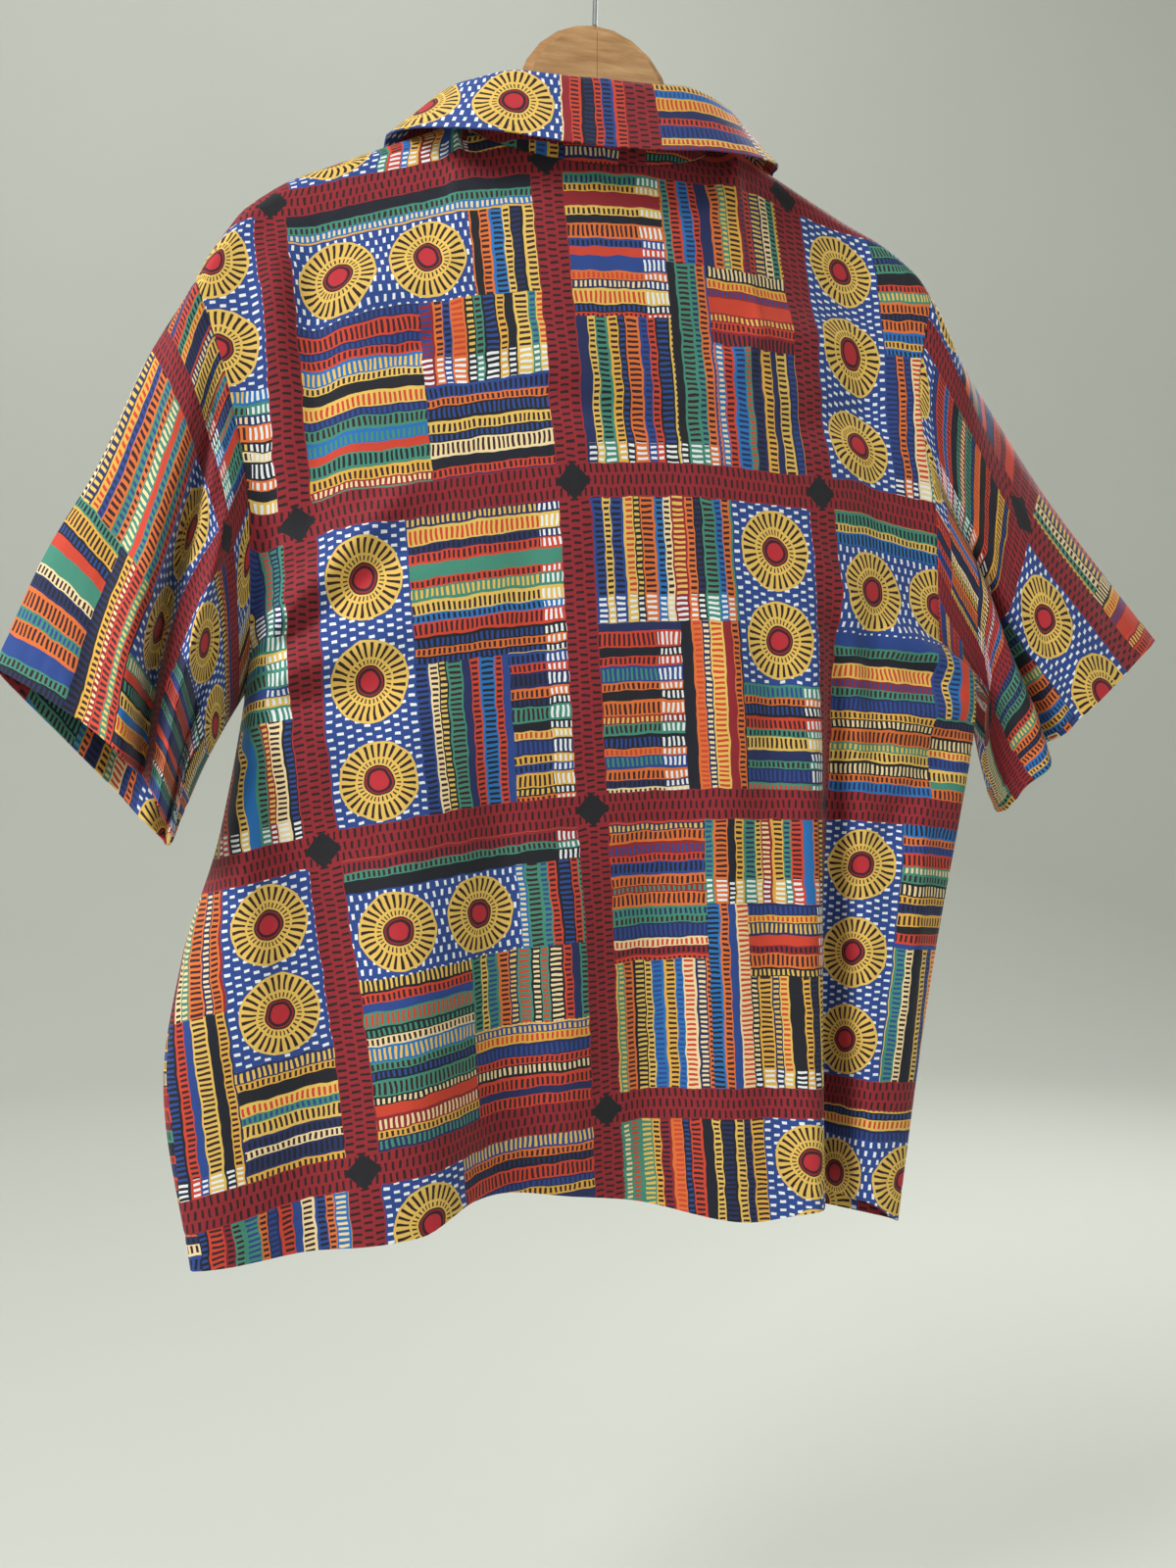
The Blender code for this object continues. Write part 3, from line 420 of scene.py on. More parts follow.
def front_columns(side):
    sign = -1 if side == "left" else 1
    turns = front_neck_turns(sign)
    shoulder = shoulder_tops(side)
    seam_x = SIDES[-1].left if side == "left" else SIDES[-1].right
    count = len(shoulder) + len(turns)
    hem_x = mix(sign * COLLAR_END_X, seam_x, crowded(1 - np.arange(count) / (count - 1)))
    edge_from = sign * COLLAR_END_X
    edge_to = -sign * EDGE_PAST_CENTRE
    edge_x = mix(edge_from, edge_to, np.arange(1, EDGE_STEPS + 1) / EDGE_STEPS)
    turns = np.concatenate([turns, neck_turn(edge_x)])
    top = np.concatenate([shoulder, neck_points("front", turns)])
    soft = np.concatenate([np.zeros(len(shoulder)), np.cos(np.radians(turns))])
    keep_x = np.concatenate([np.full(count - 1, np.nan), [edge_from], edge_x])
    lift = np.zeros(len(top))
    if side == "left":
        lift[count:] = (CLOTH + LAP_GAP) * ease((edge_x - edge_from) / LAP_RISE_RUN)
    return Columns(top, soft, np.concatenate([hem_x, edge_x]), keep_x, lift)


# %% Rows of the body, and its three nets
def levels():
    """The drops of all rows, close together at the ridge, with one at the underarm."""
    coarse = list(RIDGE_DROPS)
    start = RIDGE_DROPS[-1]
    coarse += [mix(start, UNDERARM_DROP, (i + 1) / ARMHOLE_STEPS) for i in range(ARMHOLE_STEPS)]
    coarse += [mix(UNDERARM_DROP, 1.0, (i + 1) / BODY_STEPS) for i in range(BODY_STEPS)]
    fine = [0.0]
    for above, below in zip(coarse, coarse[1:]):
        parts = FINER_RIDGE if below <= start else FINER_DOWN
        if below == coarse[-1]:
            parts = FINER_HEM
        fine += [mix(above, below, (k + 1) / parts) for k in range(parts)]
    return fine


def body_grid(face, columns):
    """The outer face of a body panel, as an array of rows, columns and coordinates."""
    top_x, top_y, top_z = columns.top.T
    on_left = columns.hem_x < 0
    at_hem = np.where(on_left, SIDES[-1].left, SIDES[-1].right)
    at_top = np.where(on_left, SIDES[0].left, SIDES[0].right)
    hem_across = (columns.hem_x - SIDES[-1].left) / (SIDES[-1].right - SIDES[-1].left)
    hem_z = along(HEM, hem_across, face + "_z")
    from_neck = (np.abs(top_x - NECK_X) - NECK_HALF_WIDTH) / NECK_FAN_WIDTH
    fan = NECK_FAN * np.exp(-from_neck ** 2) * np.sign(top_x)
    rows = []
    for drop in levels():
        here = np.where(on_left, along(SIDES, drop, "left"), along(SIDES, drop, "right"))
        plumb = columns.hem_x + (here - at_hem) * (columns.hem_x / at_hem) ** SIDE_PULL
        x = mix(top_x * here / at_top, plumb, ease(drop / EVEN_DROP))
        kept = ~np.isnan(columns.keep_x)
        x = np.where(kept, columns.keep_x, x)
        if drop == 0:
            x = top_x
        z = mix(top_z, hem_z, drop)
        y = top_y if drop == 0 else body_y(face, x, drop, top_z - z, top_y, columns.soft)
        spread = fan * curl((top_z - z) / RIDGE_CURL) * (1 - ease(drop / EVEN_DROP))
        x = x + np.where(kept, 0, spread)
        rows.append(np.stack([x, y + columns.lift, z], -1))
    return np.array(rows)


UNDERARM_ROW = (len(RIDGE_DROPS) - 1) * FINER_RIDGE + ARMHOLE_STEPS * FINER_DOWN
grids = {
    "back": body_grid("back", back_columns()),
    "front_left": body_grid("front", front_columns("left")),
    "front_right": body_grid("front", front_columns("right")),
}
print("body grids:", {name: grid.shape[:2] for name, grid in grids.items()})

# %% [markdown]
# ## Sleeves
#
# A sleeve is a tube that grows out of its armhole. Its section hangs from a top line, and the folds of
# both sleeves fan out from the underarm, where the cloth is pinched.

# %% Sizes of the sleeves
Section = namedtuple("Section", "along top_x top_z mid_x mid_z low_x low_z centre_y near far longer")
LEFT_SLEEVE = (
    Section(0.00, -0.2820, -0.2840, -0.2455, -0.4200, -0.2480, -0.5610, 0.000, 0.024, 0.024, 0.000),
    Section(0.25, -0.3120, -0.3390, -0.2700, -0.4650, -0.2620, -0.5850, -0.010, 0.024, 0.024, 0.000),
    Section(0.50, -0.3430, -0.4155, -0.2920, -0.5150, -0.2740, -0.6080, -0.022, 0.025, 0.024, 0.004),
    Section(0.75, -0.3740, -0.4760, -0.3090, -0.5600, -0.2860, -0.6360, -0.036, 0.026, 0.026, 0.014),
    Section(1.00, -0.4030, -0.5500, -0.3230, -0.6080, -0.2970, -0.6640, -0.050, 0.026, 0.026, 0.029),
)
RIGHT_SLEEVE = (
    Section(0.00, 0.2600, -0.2460, 0.2620, -0.4000, 0.2950, -0.5420, 0.000, 0.024, 0.024, 0.000),
    Section(0.25, 0.3150, -0.3160, 0.3020, -0.4500, 0.3200, -0.5610, 0.004, 0.024, 0.026, 0.000),
    Section(0.50, 0.3760, -0.3955, 0.3270, -0.5050, 0.3210, -0.5950, 0.006, 0.024, 0.028, 0.003),
    Section(0.80, 0.4360, -0.4630, 0.3560, -0.5600, 0.3280, -0.6330, 0.006, 0.024, 0.030, 0.009),
    Section(1.00, 0.4746, -0.5060, 0.3690, -0.5930, 0.3380, -0.6490, 0.004, 0.022, 0.030, 0.014),
)
SLEEVE_ROWS = 84
ARMHOLE_SHARE = 0.35
NEAR_LENS_POWER = 0.6
FAR_LENS_POWER = 0.8
SLEEVE_EVEN_SHARE = 0.30
ROUND_CROWDING = 0.4
LOWER_CROWDING = 0.75
CORNER_DOWN = 0.84
CORNER_CUT = 0.06

# %% [markdown]
# A sleeve's creases fan out from the underarm. The near face has the deep valley between two rolls that
# the photograph shows, and the far face has softer ones. Down is 0 at the top line and 1 underneath.

# %% The sleeves' creases
SleeveFold = namedtuple("SleeveFold", "start end start_down end_down width height")
FAR_FOLDS = (
    SleeveFold(0.05, 1.0, 0.50, 0.42, 0.110, 0.007),
    SleeveFold(0.05, 1.0, 0.72, 0.62, 0.090, -0.011),
    SleeveFold(0.15, 1.0, 0.90, 0.83, 0.090, 0.007),
    SleeveFold(0.00, 0.9, 0.30, 0.22, 0.045, 0.003),
)
LEFT_FOLDS = (
    SleeveFold(0.00, 0.8, 0.12, 0.46, 0.090, 0.015),
    SleeveFold(-0.15, 0.5, 0.26, 0.58, 0.048, -0.034),
    SleeveFold(-0.15, 0.6, 0.50, 0.75, 0.055, 0.020),
    SleeveFold(0.10, 0.9, 0.66, 0.86, 0.032, -0.020),
    SleeveFold(0.20, 0.9, 0.84, 0.96, 0.060, 0.012),
    SleeveFold(0.00, 0.9, 0.05, 0.27, 0.035, -0.003),
    SleeveFold(0.30, 1.0, 0.30, 0.36, 0.030, 0.003),
)
RIGHT_FOLDS = (
    SleeveFold(0.10, 0.9, 0.22, 0.24, 0.120, 0.006),
    SleeveFold(-0.10, 0.6, 0.48, 0.50, 0.040, -0.024),
    SleeveFold(-0.10, 0.6, 0.63, 0.64, 0.080, 0.018),
    SleeveFold(0.10, 1.0, 0.84, 0.90, 0.050, -0.007),
    SleeveFold(0.05, 0.9, 0.30, 0.36, 0.035, -0.003),
    SleeveFold(0.10, 0.9, 0.10, 0.14, 0.035, 0.002),
)


# %% Points of the sleeves
def sleeve_points(table, folds, share, down, near):
    """Points on a ring of a sleeve's outer face."""
    corner = np.clip((down - CORNER_DOWN) / (1 - CORNER_DOWN), 0, 1)
    share = share * (1 - CORNER_CUT * corner ** 2)
    here = {name: along(table, share, name) for name in Section._fields[1:]}
    top_share = (1 - down) * (1 - 2 * down)
    mid_share = 4 * down * (1 - down)
    low_share = down * (2 * down - 1)
    x = top_share * here["top_x"] + mid_share * here["mid_x"] + low_share * here["low_x"]
    z = top_share * here["top_z"] + mid_share * here["mid_z"] + low_share * here["low_z"]
    round_face = np.sin(math.pi * np.clip(down, 0, 1))
    round_face = np.maximum(round_face, 0) ** np.where(near, NEAR_LENS_POWER, FAR_LENS_POWER)
    bumps = []
    for listed in (folds, FAR_FOLDS):
        bump = np.zeros_like(down)
        for fold in listed:
            t = np.clip((share - fold.start) / (fold.end - fold.start), 0, 1)
            middle = mix(fold.start_down, fold.end_down, share)
            bump += fold.height * ease(t) * np.exp(-(((down - middle) / fold.width) ** 2))
        bumps.append(bump)
    near_y = here["centre_y"] - (here["near"] + bumps[0]) * round_face
    far_y = here["centre_y"] + (here["far"] + bumps[1]) * round_face
    z = z - np.where(near, 0, here["longer"] * round_face)
    return np.stack([x, np.where(near, near_y, far_y), z], -1)


def ring_downs(armhole_side, share):
    """How far down each point of a ring lies, from the armhole's own spacing to an even one."""
    reached = run_along(armhole_side)
    lower = (np.arange(len(reached)) / (len(reached) - 1)) ** LOWER_CROWDING
    even = mix(lower, (1 - np.cos(math.pi * lower)) / 2, ROUND_CROWDING)
    return mix(reached / reached[-1], even, ease(share / SLEEVE_EVEN_SHARE))


def sleeve_grid(table, folds, armhole_back, armhole_front):
    """Rings of points from the armhole to the cuff: down the back face and up the front one."""
    ring = np.concatenate([armhole_back, armhole_front[-2:0:-1]])
    near = np.arange(len(ring)) < len(armhole_back)

    def all_round(downs):
        return np.concatenate([downs, downs[-2:0:-1]])

    start = sleeve_points(table, folds, 0.0, all_round(ring_downs(armhole_back, 0)), near)
    rows = [ring]
    for k in range(1, SLEEVE_ROWS + 1):
        share = k / SLEEVE_ROWS
        keep = 1 - ease(share / ARMHOLE_SHARE)
        points = sleeve_points(table, folds, share, all_round(ring_downs(armhole_back, share)), near)
        rows.append(points + (ring - start) * keep)
    return np.array(rows)


armhole_rows = slice(0, UNDERARM_ROW + 1)
back, front_left, front_right = grids["back"], grids["front_left"], grids["front_right"]
grids["sleeve_left"] = sleeve_grid(
    LEFT_SLEEVE, LEFT_FOLDS, back[armhole_rows, 0], front_left[armhole_rows, 0])
grids["sleeve_right"] = sleeve_grid(
    RIGHT_SLEEVE, RIGHT_FOLDS, back[armhole_rows, -1], front_right[armhole_rows, 0])
print("sleeve rings:", grids["sleeve_left"].shape[:2], grids["sleeve_right"].shape[:2])

# %% [markdown]
# ## Collar
#
# The collar is one folded strip. Its stand rises from the neck seam, rolls over, and its fall lies on
# the shoulders. The profile is drawn for eight places round the neck and read smoothly in between.

# %% The collar's profile
Collar = namedtuple("Collar", "round lean stand spread drop")
COLLAR = (
    Collar(0.00, 0.007, 0.055, 0.013, 0.053),
    Collar(0.20, 0.009, 0.050, 0.016, 0.051),
    Collar(0.36, 0.012, 0.032, 0.028, 0.044),
    Collar(0.50, 0.013, 0.018, 0.037, 0.033),
    Collar(0.60, 0.012, 0.016, 0.039, 0.042),
    Collar(0.72, 0.009, 0.013, 0.032, 0.050),
    Collar(0.86, 0.007, 0.009, 0.020, 0.060),
    Collar(1.00, 0.006, 0.006, 0.016, 0.066),
)
COLLAR_ROLL = 0.0030
ROLL_OF_STAND = 0.3
HALF_WAY_LEAN = 0.15
COLLAR_FALL_SHARES = (0.4, 0.7, 1.0)
PROFILE_STEPS = 28


# %% The collar's net
def collar_grid():
    """The collar's underside, from the neck seam up the stand, over the roll and down the fall."""
    left, right = (neck_points("front", front_neck_turns(sign)) for sign in (-1, 1))
    front_steps, back_steps = len(left), NECK_STEPS * FINER_ACROSS
    behind = neck_points("back", mix(-90.0, 90.0, np.arange(back_steps + 1) / back_steps))
    seams = np.concatenate([left[::-1], behind, right])
    steps = np.abs(np.arange(len(seams)) - (len(seams) - 1) / 2)
    half = back_steps / 2
    place = np.where(steps <= half, 0.5 * steps / half, 0.5 + 0.5 * (steps - half) / front_steps)
    lean, stand, spread, drop = (along(COLLAR, place, name)[:, None] for name in Collar._fields[1:])
    across = np.gradient(seams, axis=0)
    out = units(np.stack([across[:, 1], -across[:, 0], np.zeros(len(seams))], -1))
    up = np.array([[0.0, 0.0, 1.0]])
    roll = seams + out * lean + up * stand
    edge = roll + out * spread - up * drop
    under_roll = np.minimum(COLLAR_ROLL, ROLL_OF_STAND * stand)
    stand_way, fall_way = units(roll - seams), units(edge - roll)
    shift = out * under_roll
    half_way = seams + out * lean * HALF_WAY_LEAN + up * stand / 2
    rows = [seams, half_way, roll - stand_way * under_roll, roll + shift / 2]
    rows.append(roll + fall_way * under_roll + shift)
    rows += [mix(roll, edge, share) + shift for share in COLLAR_FALL_SHARES]
    rows = np.array(rows)
    far = np.linalg.norm(np.diff(rows, axis=0), axis=2).mean(axis=1)
    places = np.concatenate([[0], np.cumsum(far)])
    wanted = np.linspace(0, places[-1], PROFILE_STEPS)
    smooth = np.empty((PROFILE_STEPS, len(seams), 3))
    for i in range(len(seams)):
        for axis in range(3):
            smooth[:, i, axis] = between(places, rows[:, i, axis], wanted)
    return smooth


grids["collar"] = collar_grid()
print("collar grid:", grids["collar"].shape[:2])

# %% [markdown]
# ## Thin shells
#
# Each net becomes a closed shell 0.6 mm thick, and thicker where a hem is folded twice. A UV map named
# "print" holds the place of every point on the flat cloth, in metres. Across a panel it is measured
# along the surface, so that the printed pattern runs into each fold and out again as on real cloth.

# %% Sizes and directions of the shells
SHELL = 0.0006
HEM_FOLD = 0.0010
COLLAR_LINING = 0.0006
SHARP_ANGLE = 60
RINGS = ("sleeve_left", "sleeve_right")
SEWN = ("back", "front_left", "front_right", *RINGS)
OUTWARD = {"back": (0, -1, 0), "front_left": (0, 1, 0), "front_right": (0, 1, 0),
           "sleeve_left": (0, -1, 0), "sleeve_right": (0, -1, 0), "collar": (0, -1, 0)}


def grid_normals(name, grid):
    """Unit normals of a net, out of the shirt. The collar's net is its underside."""
    ring = name in RINGS
    if ring:
        wide = np.concatenate([grid[:, -1:], grid, grid[:, :1]], axis=1)
        across = wide[:, 2:] - wide[:, :-2]
    else:
        across = np.gradient(grid, axis=1)
    normals = np.cross(across, np.gradient(grid, axis=0))
    normals /= np.maximum(np.linalg.norm(normals, axis=2, keepdims=True), TINY)
    row, column = grid.shape[0] // 2, grid.shape[1] // 4
    if name == "collar":
        row, column = 3, grid.shape[1] // 2
    if np.dot(normals[row, column], OUTWARD[name]) < 0:
        normals = -normals
    return normals


def lengths(grid):
    """Lengths along the surface from the first column and from the first row."""
    across = np.linalg.norm(np.diff(grid, axis=1), axis=2)
    down = np.linalg.norm(np.diff(grid, axis=0), axis=2)
    u = np.concatenate([np.zeros((grid.shape[0], 1)), np.cumsum(across, axis=1)], axis=1)
    v = np.concatenate([np.zeros((1, grid.shape[1])), np.cumsum(down, axis=0)], axis=0)
    return u, v


# %% Places on the printed cloth
COLLAR_DEPTH = 0.12
RIDGE_REACH = 0.030
RIDGE_DROP = 0.05
RIDGE_FADE = 0.55
SIDE_DROOP = 0.022
HALF_BODY = 0.25


def cloth_places(name, grid):
    """Where each point lies on the printed cloth: u across the panel and v down it, in metres."""
    u, v = lengths(grid)
    if name in RINGS:
        v = np.repeat(v.mean(axis=1, keepdims=True), grid.shape[1], axis=1)
    elif name == "collar":
        u = np.repeat(u.mean(axis=0, keepdims=True), grid.shape[0], axis=0)
        v = COLLAR_DEPTH - (v[-1:] - v)
    else:
        u, _ = lengths(grid * (1, 1, 0))
        middle = grid.shape[1] // 2 if name == "back" else grid.shape[1] - 1
        u -= u[:, middle:middle + 1]
        over_ridge = np.minimum(np.abs(grid[..., 1]), RIDGE_REACH)
        below_ridge = (np.array(levels())[:, None] - RIDGE_DROP) / RIDGE_FADE
        over_ridge = over_ridge * (1 - ease(below_ridge))
        v = -grid[..., 2] + over_ridge - SIDE_DROOP * (grid[..., 0] / HALF_BODY) ** 2
    return u, v


# %% Close a net into a shell
def add_object(name, data):
    made = bpy.data.objects.new(name, data)
    bpy.context.collection.objects.link(made)
    return made


def shell_faces(rows, columns, ring):
    """Faces as numbers of points, the outer net's first, and the row and column of each corner."""
    total = rows * columns
    last = columns if ring else columns - 1
    j, i = np.meshgrid(np.arange(rows - 1), np.arange(last), indexing="ij")
    k = (i + 1) % columns
    quad = np.stack([j * columns + i, j * columns + k, (j + 1) * columns + k, (j + 1) * columns + i], -1)
    quad = quad.reshape(-1, 4)
    places = np.stack([j, i, j, i + 1, j + 1, i + 1, j + 1, i], -1).reshape(-1, 4, 2)
    faces = [quad, quad[:, ::-1] + total]
    maps = [places, places[:, ::-1]]
    borders = [((0, i), (0, i + 1)) for i in range(last)]
    borders += [((rows - 1, i + 1), (rows - 1, i)) for i in range(last)]
    if not ring:
        borders += [((j + 1, 0), (j, 0)) for j in range(rows - 1)]
        borders += [((j, columns - 1), (j + 1, columns - 1)) for j in range(rows - 1)]
    rims, rim_maps = [], []
    for (row_a, column_a), (row_b, column_b) in borders:
        a = row_a * columns + column_a % columns
        b = row_b * columns + column_b % columns
        rims.append((b, a, a + total, b + total))
        here, there = (row_a, column_a), (row_b, column_b)
        rim_maps.append((there, here, here, there))
    faces.append(np.array(rims))
    maps.append(np.array(rim_maps))
    return np.concatenate(faces), np.concatenate(maps)


def make_shell(name, grid, thickness):
    """A closed mesh between a net and the same net moved inwards, with its print map."""
    ring = name in RINGS
    normals = grid_normals(name, grid)
    inner = grid - normals * thickness[..., None]
    points = np.concatenate([grid.reshape(-1, 3), inner.reshape(-1, 3)])
    faces, maps = shell_faces(*grid.shape[:2], ring)
    first = points[faces[0]]
    facing = np.cross(first[1] - first[0], first[3] - first[0])
    if np.dot(facing, normals[0, 0]) < 0:
        faces, maps = faces[:, ::-1], maps[:, ::-1]
    mesh = bpy.data.meshes.new(name)
    mesh.from_pydata(points.tolist(), [], faces.tolist())
    print_map = mesh.uv_layers.new(name="print")
    u, v = cloth_places(name, grid)
    if ring:
        girth = u[:, -1] + np.linalg.norm(grid[:, 0] - grid[:, -1], axis=1)
        u = np.concatenate([u, girth[:, None]], axis=1)
        v = np.concatenate([v, v[:, :1]], axis=1)
    spots = np.stack([u[maps[..., 0], maps[..., 1]], v[maps[..., 0], maps[..., 1]]], -1)
    if ring:
        past_seam = maps[..., 1].min(axis=1) >= grid.shape[1] // 2
        spots[past_seam, :, 0] -= girth[maps[past_seam, :, 0]]
    print_map.data.foreach_set("uv", spots.reshape(-1).astype(np.float32))
    mesh.shade_smooth()
    mesh.set_sharp_from_angle(angle=math.radians(SHARP_ANGLE))
    return add_object(name + "_cloth", mesh)


# %% [markdown]
# ## Seams and hems in relief
#
# A sewn seam draws the cloth in along a narrow ditch. Points that panels share move inwards together, so
# the seam stays closed. Along a hem the cloth is folded twice and held by a row of stitches, which sink
# a little and pucker the fold.

# %% Draw the seams in
DITCH = 0.0007
SPOTS_PER_METRE = 20000
LEAST_REACH = 0.3
shared = {}


def spot_key(point):
    return tuple(int(round(value * SPOTS_PER_METRE)) for value in point)


def border_spots(name, grid):
    """Row and column of each point on a sewn border."""
    rows, columns = grid.shape[:2]
    spots = [(0, i) for i in range(columns)]
    if name == "back":
        spots += [(j, i) for j in range(1, rows) for i in (0, columns - 1)]
    elif name.startswith("front"):
        spots += [(j, 0) for j in range(1, rows)]
    return spots


net_normals = {name: grid_normals(name, grid) for name, grid in grids.items()}
for name, grid in grids.items():
    for j, i in border_spots(name, grid):
        shared.setdefault(spot_key(grid[j, i]), []).append(net_normals[name][j, i])
for name in SEWN:
    grid = grids[name].copy()
    for j, i in border_spots(name, grid):
        way = sum(shared[spot_key(grids[name][j, i])])
        reach = np.linalg.norm(way)
        if reach > LEAST_REACH:
            grid[j, i] -= way / reach * DITCH
    net_normals[name] = grid_normals(name, grid)
    grids[name] = grid
print("shared seam points:", len(shared))

# %% Press the hems
HEM_BAND = 0.022
HEM_DITCH = 0.0006
HEM_DITCH_WIDTH = 0.0022
HEM_STEP = 0.003
PUCKER = 0.0005
PUCKER_PITCH = 0.013
PUCKER_WIDTH = 0.011
PUCKER_PLACE = 0.7
PITCH_SWING, PITCH_BEAT = 2.5, 31.0
HEIGHT_SWING, HEIGHT_BEAT = 0.4, 57.0
above_edge = {}
for name, grid in grids.items():
    u, v = lengths(grid)
    above_edge[name] = v[-1:] - v
    if name == "collar":
        continue
    above = above_edge[name]
    turns = 2 * math.pi * u / PUCKER_PITCH + PITCH_SWING * np.sin(u * PITCH_BEAT)
    wave = np.sin(turns) * (1 - HEIGHT_SWING + HEIGHT_SWING * np.sin(u * HEIGHT_BEAT))
    relief = -HEM_DITCH * np.exp(-((above - HEM_BAND) / HEM_DITCH_WIDTH) ** 2)
    relief += PUCKER * wave * np.exp(-((above - HEM_BAND * PUCKER_PLACE) / PUCKER_WIDTH) ** 2)
    grids[name] = grid + net_normals[name] * relief[..., None]

# %% Make the six panels
shells, cut = {}, {}
for name, grid in grids.items():
    thickness = np.full(grid.shape[:2], SHELL)
    if name == "collar":
        thickness += COLLAR_LINING
    else:
        thickness += HEM_FOLD * (1 - ease((above_edge[name] - HEM_BAND) / HEM_STEP))
    shells[name] = make_shell(name, grid, thickness)
    u, v = lengths(grid)
    cut[name] = (float(u.max()), float(v.max()))
    print(name, "flat size", [round(size, 3) for size in cut[name]])

# %% [markdown]
# ## Stitches
#
# Rows of stitches hold the hems, the front edges and the collar's edge. One stitch is a tiny spindle of
# thread that dips into the cloth at both ends, and a row repeats it along a line of the net.

# %% Sizes of the stitches
STITCH = 0.0023
STITCH_PITCH = 0.0031
THREAD = 0.00024
THREAD_RISE = 2.4
SPINDLE_FACES = np.array([(0, 2, 4), (2, 1, 4), (1, 3, 4), (3, 0, 4), (2, 0, 5), (1, 2, 5), (3, 1, 5),
                          (0, 3, 5)])
stitch_rows = {name: [] for name in grids}


# %% One stitch, and a row of them
def on_net(values, rows, columns):
    """Reads a net at fractional rows and columns."""
    rows = np.clip(np.asarray(rows, float), 0, values.shape[0] - 1 - TINY)
    columns = np.clip(np.asarray(columns, float), 0, values.shape[1] - 1 - TINY)
    j, i = rows.astype(int), columns.astype(int)
    down, right = (rows - j)[:, None], (columns - i)[:, None]
    upper = mix(values[j, i], values[j, i + 1], right)
    lower = mix(values[j + 1, i], values[j + 1, i + 1], right)
    return mix(upper, lower, down)


def spindle(start, end, out, thread=THREAD):
    """The six corners of stitches from their starts to their ends."""
    side = np.cross(out, end - start)
    side *= thread / np.linalg.norm(side, axis=1, keepdims=True)
    centre = (start + end) / 2
    crown = centre + out * THREAD_RISE * thread
    return np.stack([start, end, centre + side, centre - side, crown, centre], 1)


def sew(name, rows, columns, pitch=STITCH_PITCH, length=STITCH):
    """Lays spindles of thread along a line of a net."""
    net, ways = grids[name], net_normals[name]
    if name == "collar":
        net, ways = net - ways * (SHELL + COLLAR_LINING), -ways
    line = on_net(net, rows, columns)
    ways_out = on_net(ways, rows, columns)
    places = run_along(line)
    middles = np.arange(pitch, places[-1] - pitch / 2, pitch)

    def read(values, where):
        return np.stack([np.interp(where, places, values[:, axis]) for axis in range(3)], -1)

    out = units(read(ways_out, middles))
    start = read(line, middles - length / 2) - out * THREAD
    end = read(line, middles + length / 2) - out * THREAD
    stitch_rows[name].append(spindle(start, end, out))


# %% Sew the hems, the front edges and the collar
EDGE_ROW = 0.0030
PLACKET_ROW = 0.0280
COLLAR_ROW = 0.0050
COLLAR_END_COLUMN = 2.5


def row_above(name, distance):
    """The fractional row at a distance above the lower edge, for each column."""
    above = above_edge[name]
    rows = np.arange(above.shape[0])[::-1]
    return np.array([np.interp(distance, above[::-1, i], rows) for i in range(above.shape[1])])


def column_in(name, distance):
    """The fractional column at a distance in from the free edge, for each row."""
    u, _ = lengths(grids[name])
    inward = u[:, -1:] - u
    columns = np.arange(u.shape[1])[::-1]
    return np.array([np.interp(distance, inward[j, ::-1], columns) for j in range(u.shape[0])])


for name in SEWN:
    sew(name, row_above(name, HEM_BAND), np.arange(grids[name].shape[1]))
for name, distance in (("front_left", EDGE_ROW), ("front_left", PLACKET_ROW), ("front_right", EDGE_ROW)):
    sew(name, np.arange(grids[name].shape[0]), column_in(name, distance))
collar_columns = np.arange(grids["collar"].shape[1])
fall_rows = np.arange(PROFILE_STEPS // 2, PROFILE_STEPS - 1)
sew("collar", row_above("collar", COLLAR_ROW), collar_columns)
for column in (COLLAR_END_COLUMN, collar_columns[-1] - COLLAR_END_COLUMN):
    sew("collar", fall_rows, np.full(len(fall_rows), column))
print("rows of stitches:", {name: len(rows) for name, rows in stitch_rows.items()})

# %% [markdown]
# ## Buttons
#
# Five turned buttons close the front. One is modelled from a disc: its face is dished by two insets, its
# rim is rounded by a bevel, and four holes are cut. Each of the five is a copy that sits on the cloth,
# over a buttonhole with two rows of close stitches.

# %% Model one button
BUTTON_RADIUS = 0.0060
BUTTON_THICK = 0.0024
RIM_INSET, DISH_INSET, DISH_DEPTH = 0.0013, 0.0007, 0.0007
RIM_BEVEL = 0.0004
HOLE_OUT, HOLE_RADIUS = 0.0012, 0.0007
FACING_UP = 0.9
ROUND_FACE_ANGLE = 35


def round_bar(radius, depth, place, vertices):
    bpy.ops.object.select_all(action="DESELECT")
    bpy.ops.mesh.primitive_cylinder_add(radius=radius, depth=depth, location=place, vertices=vertices)
    return bpy.context.object


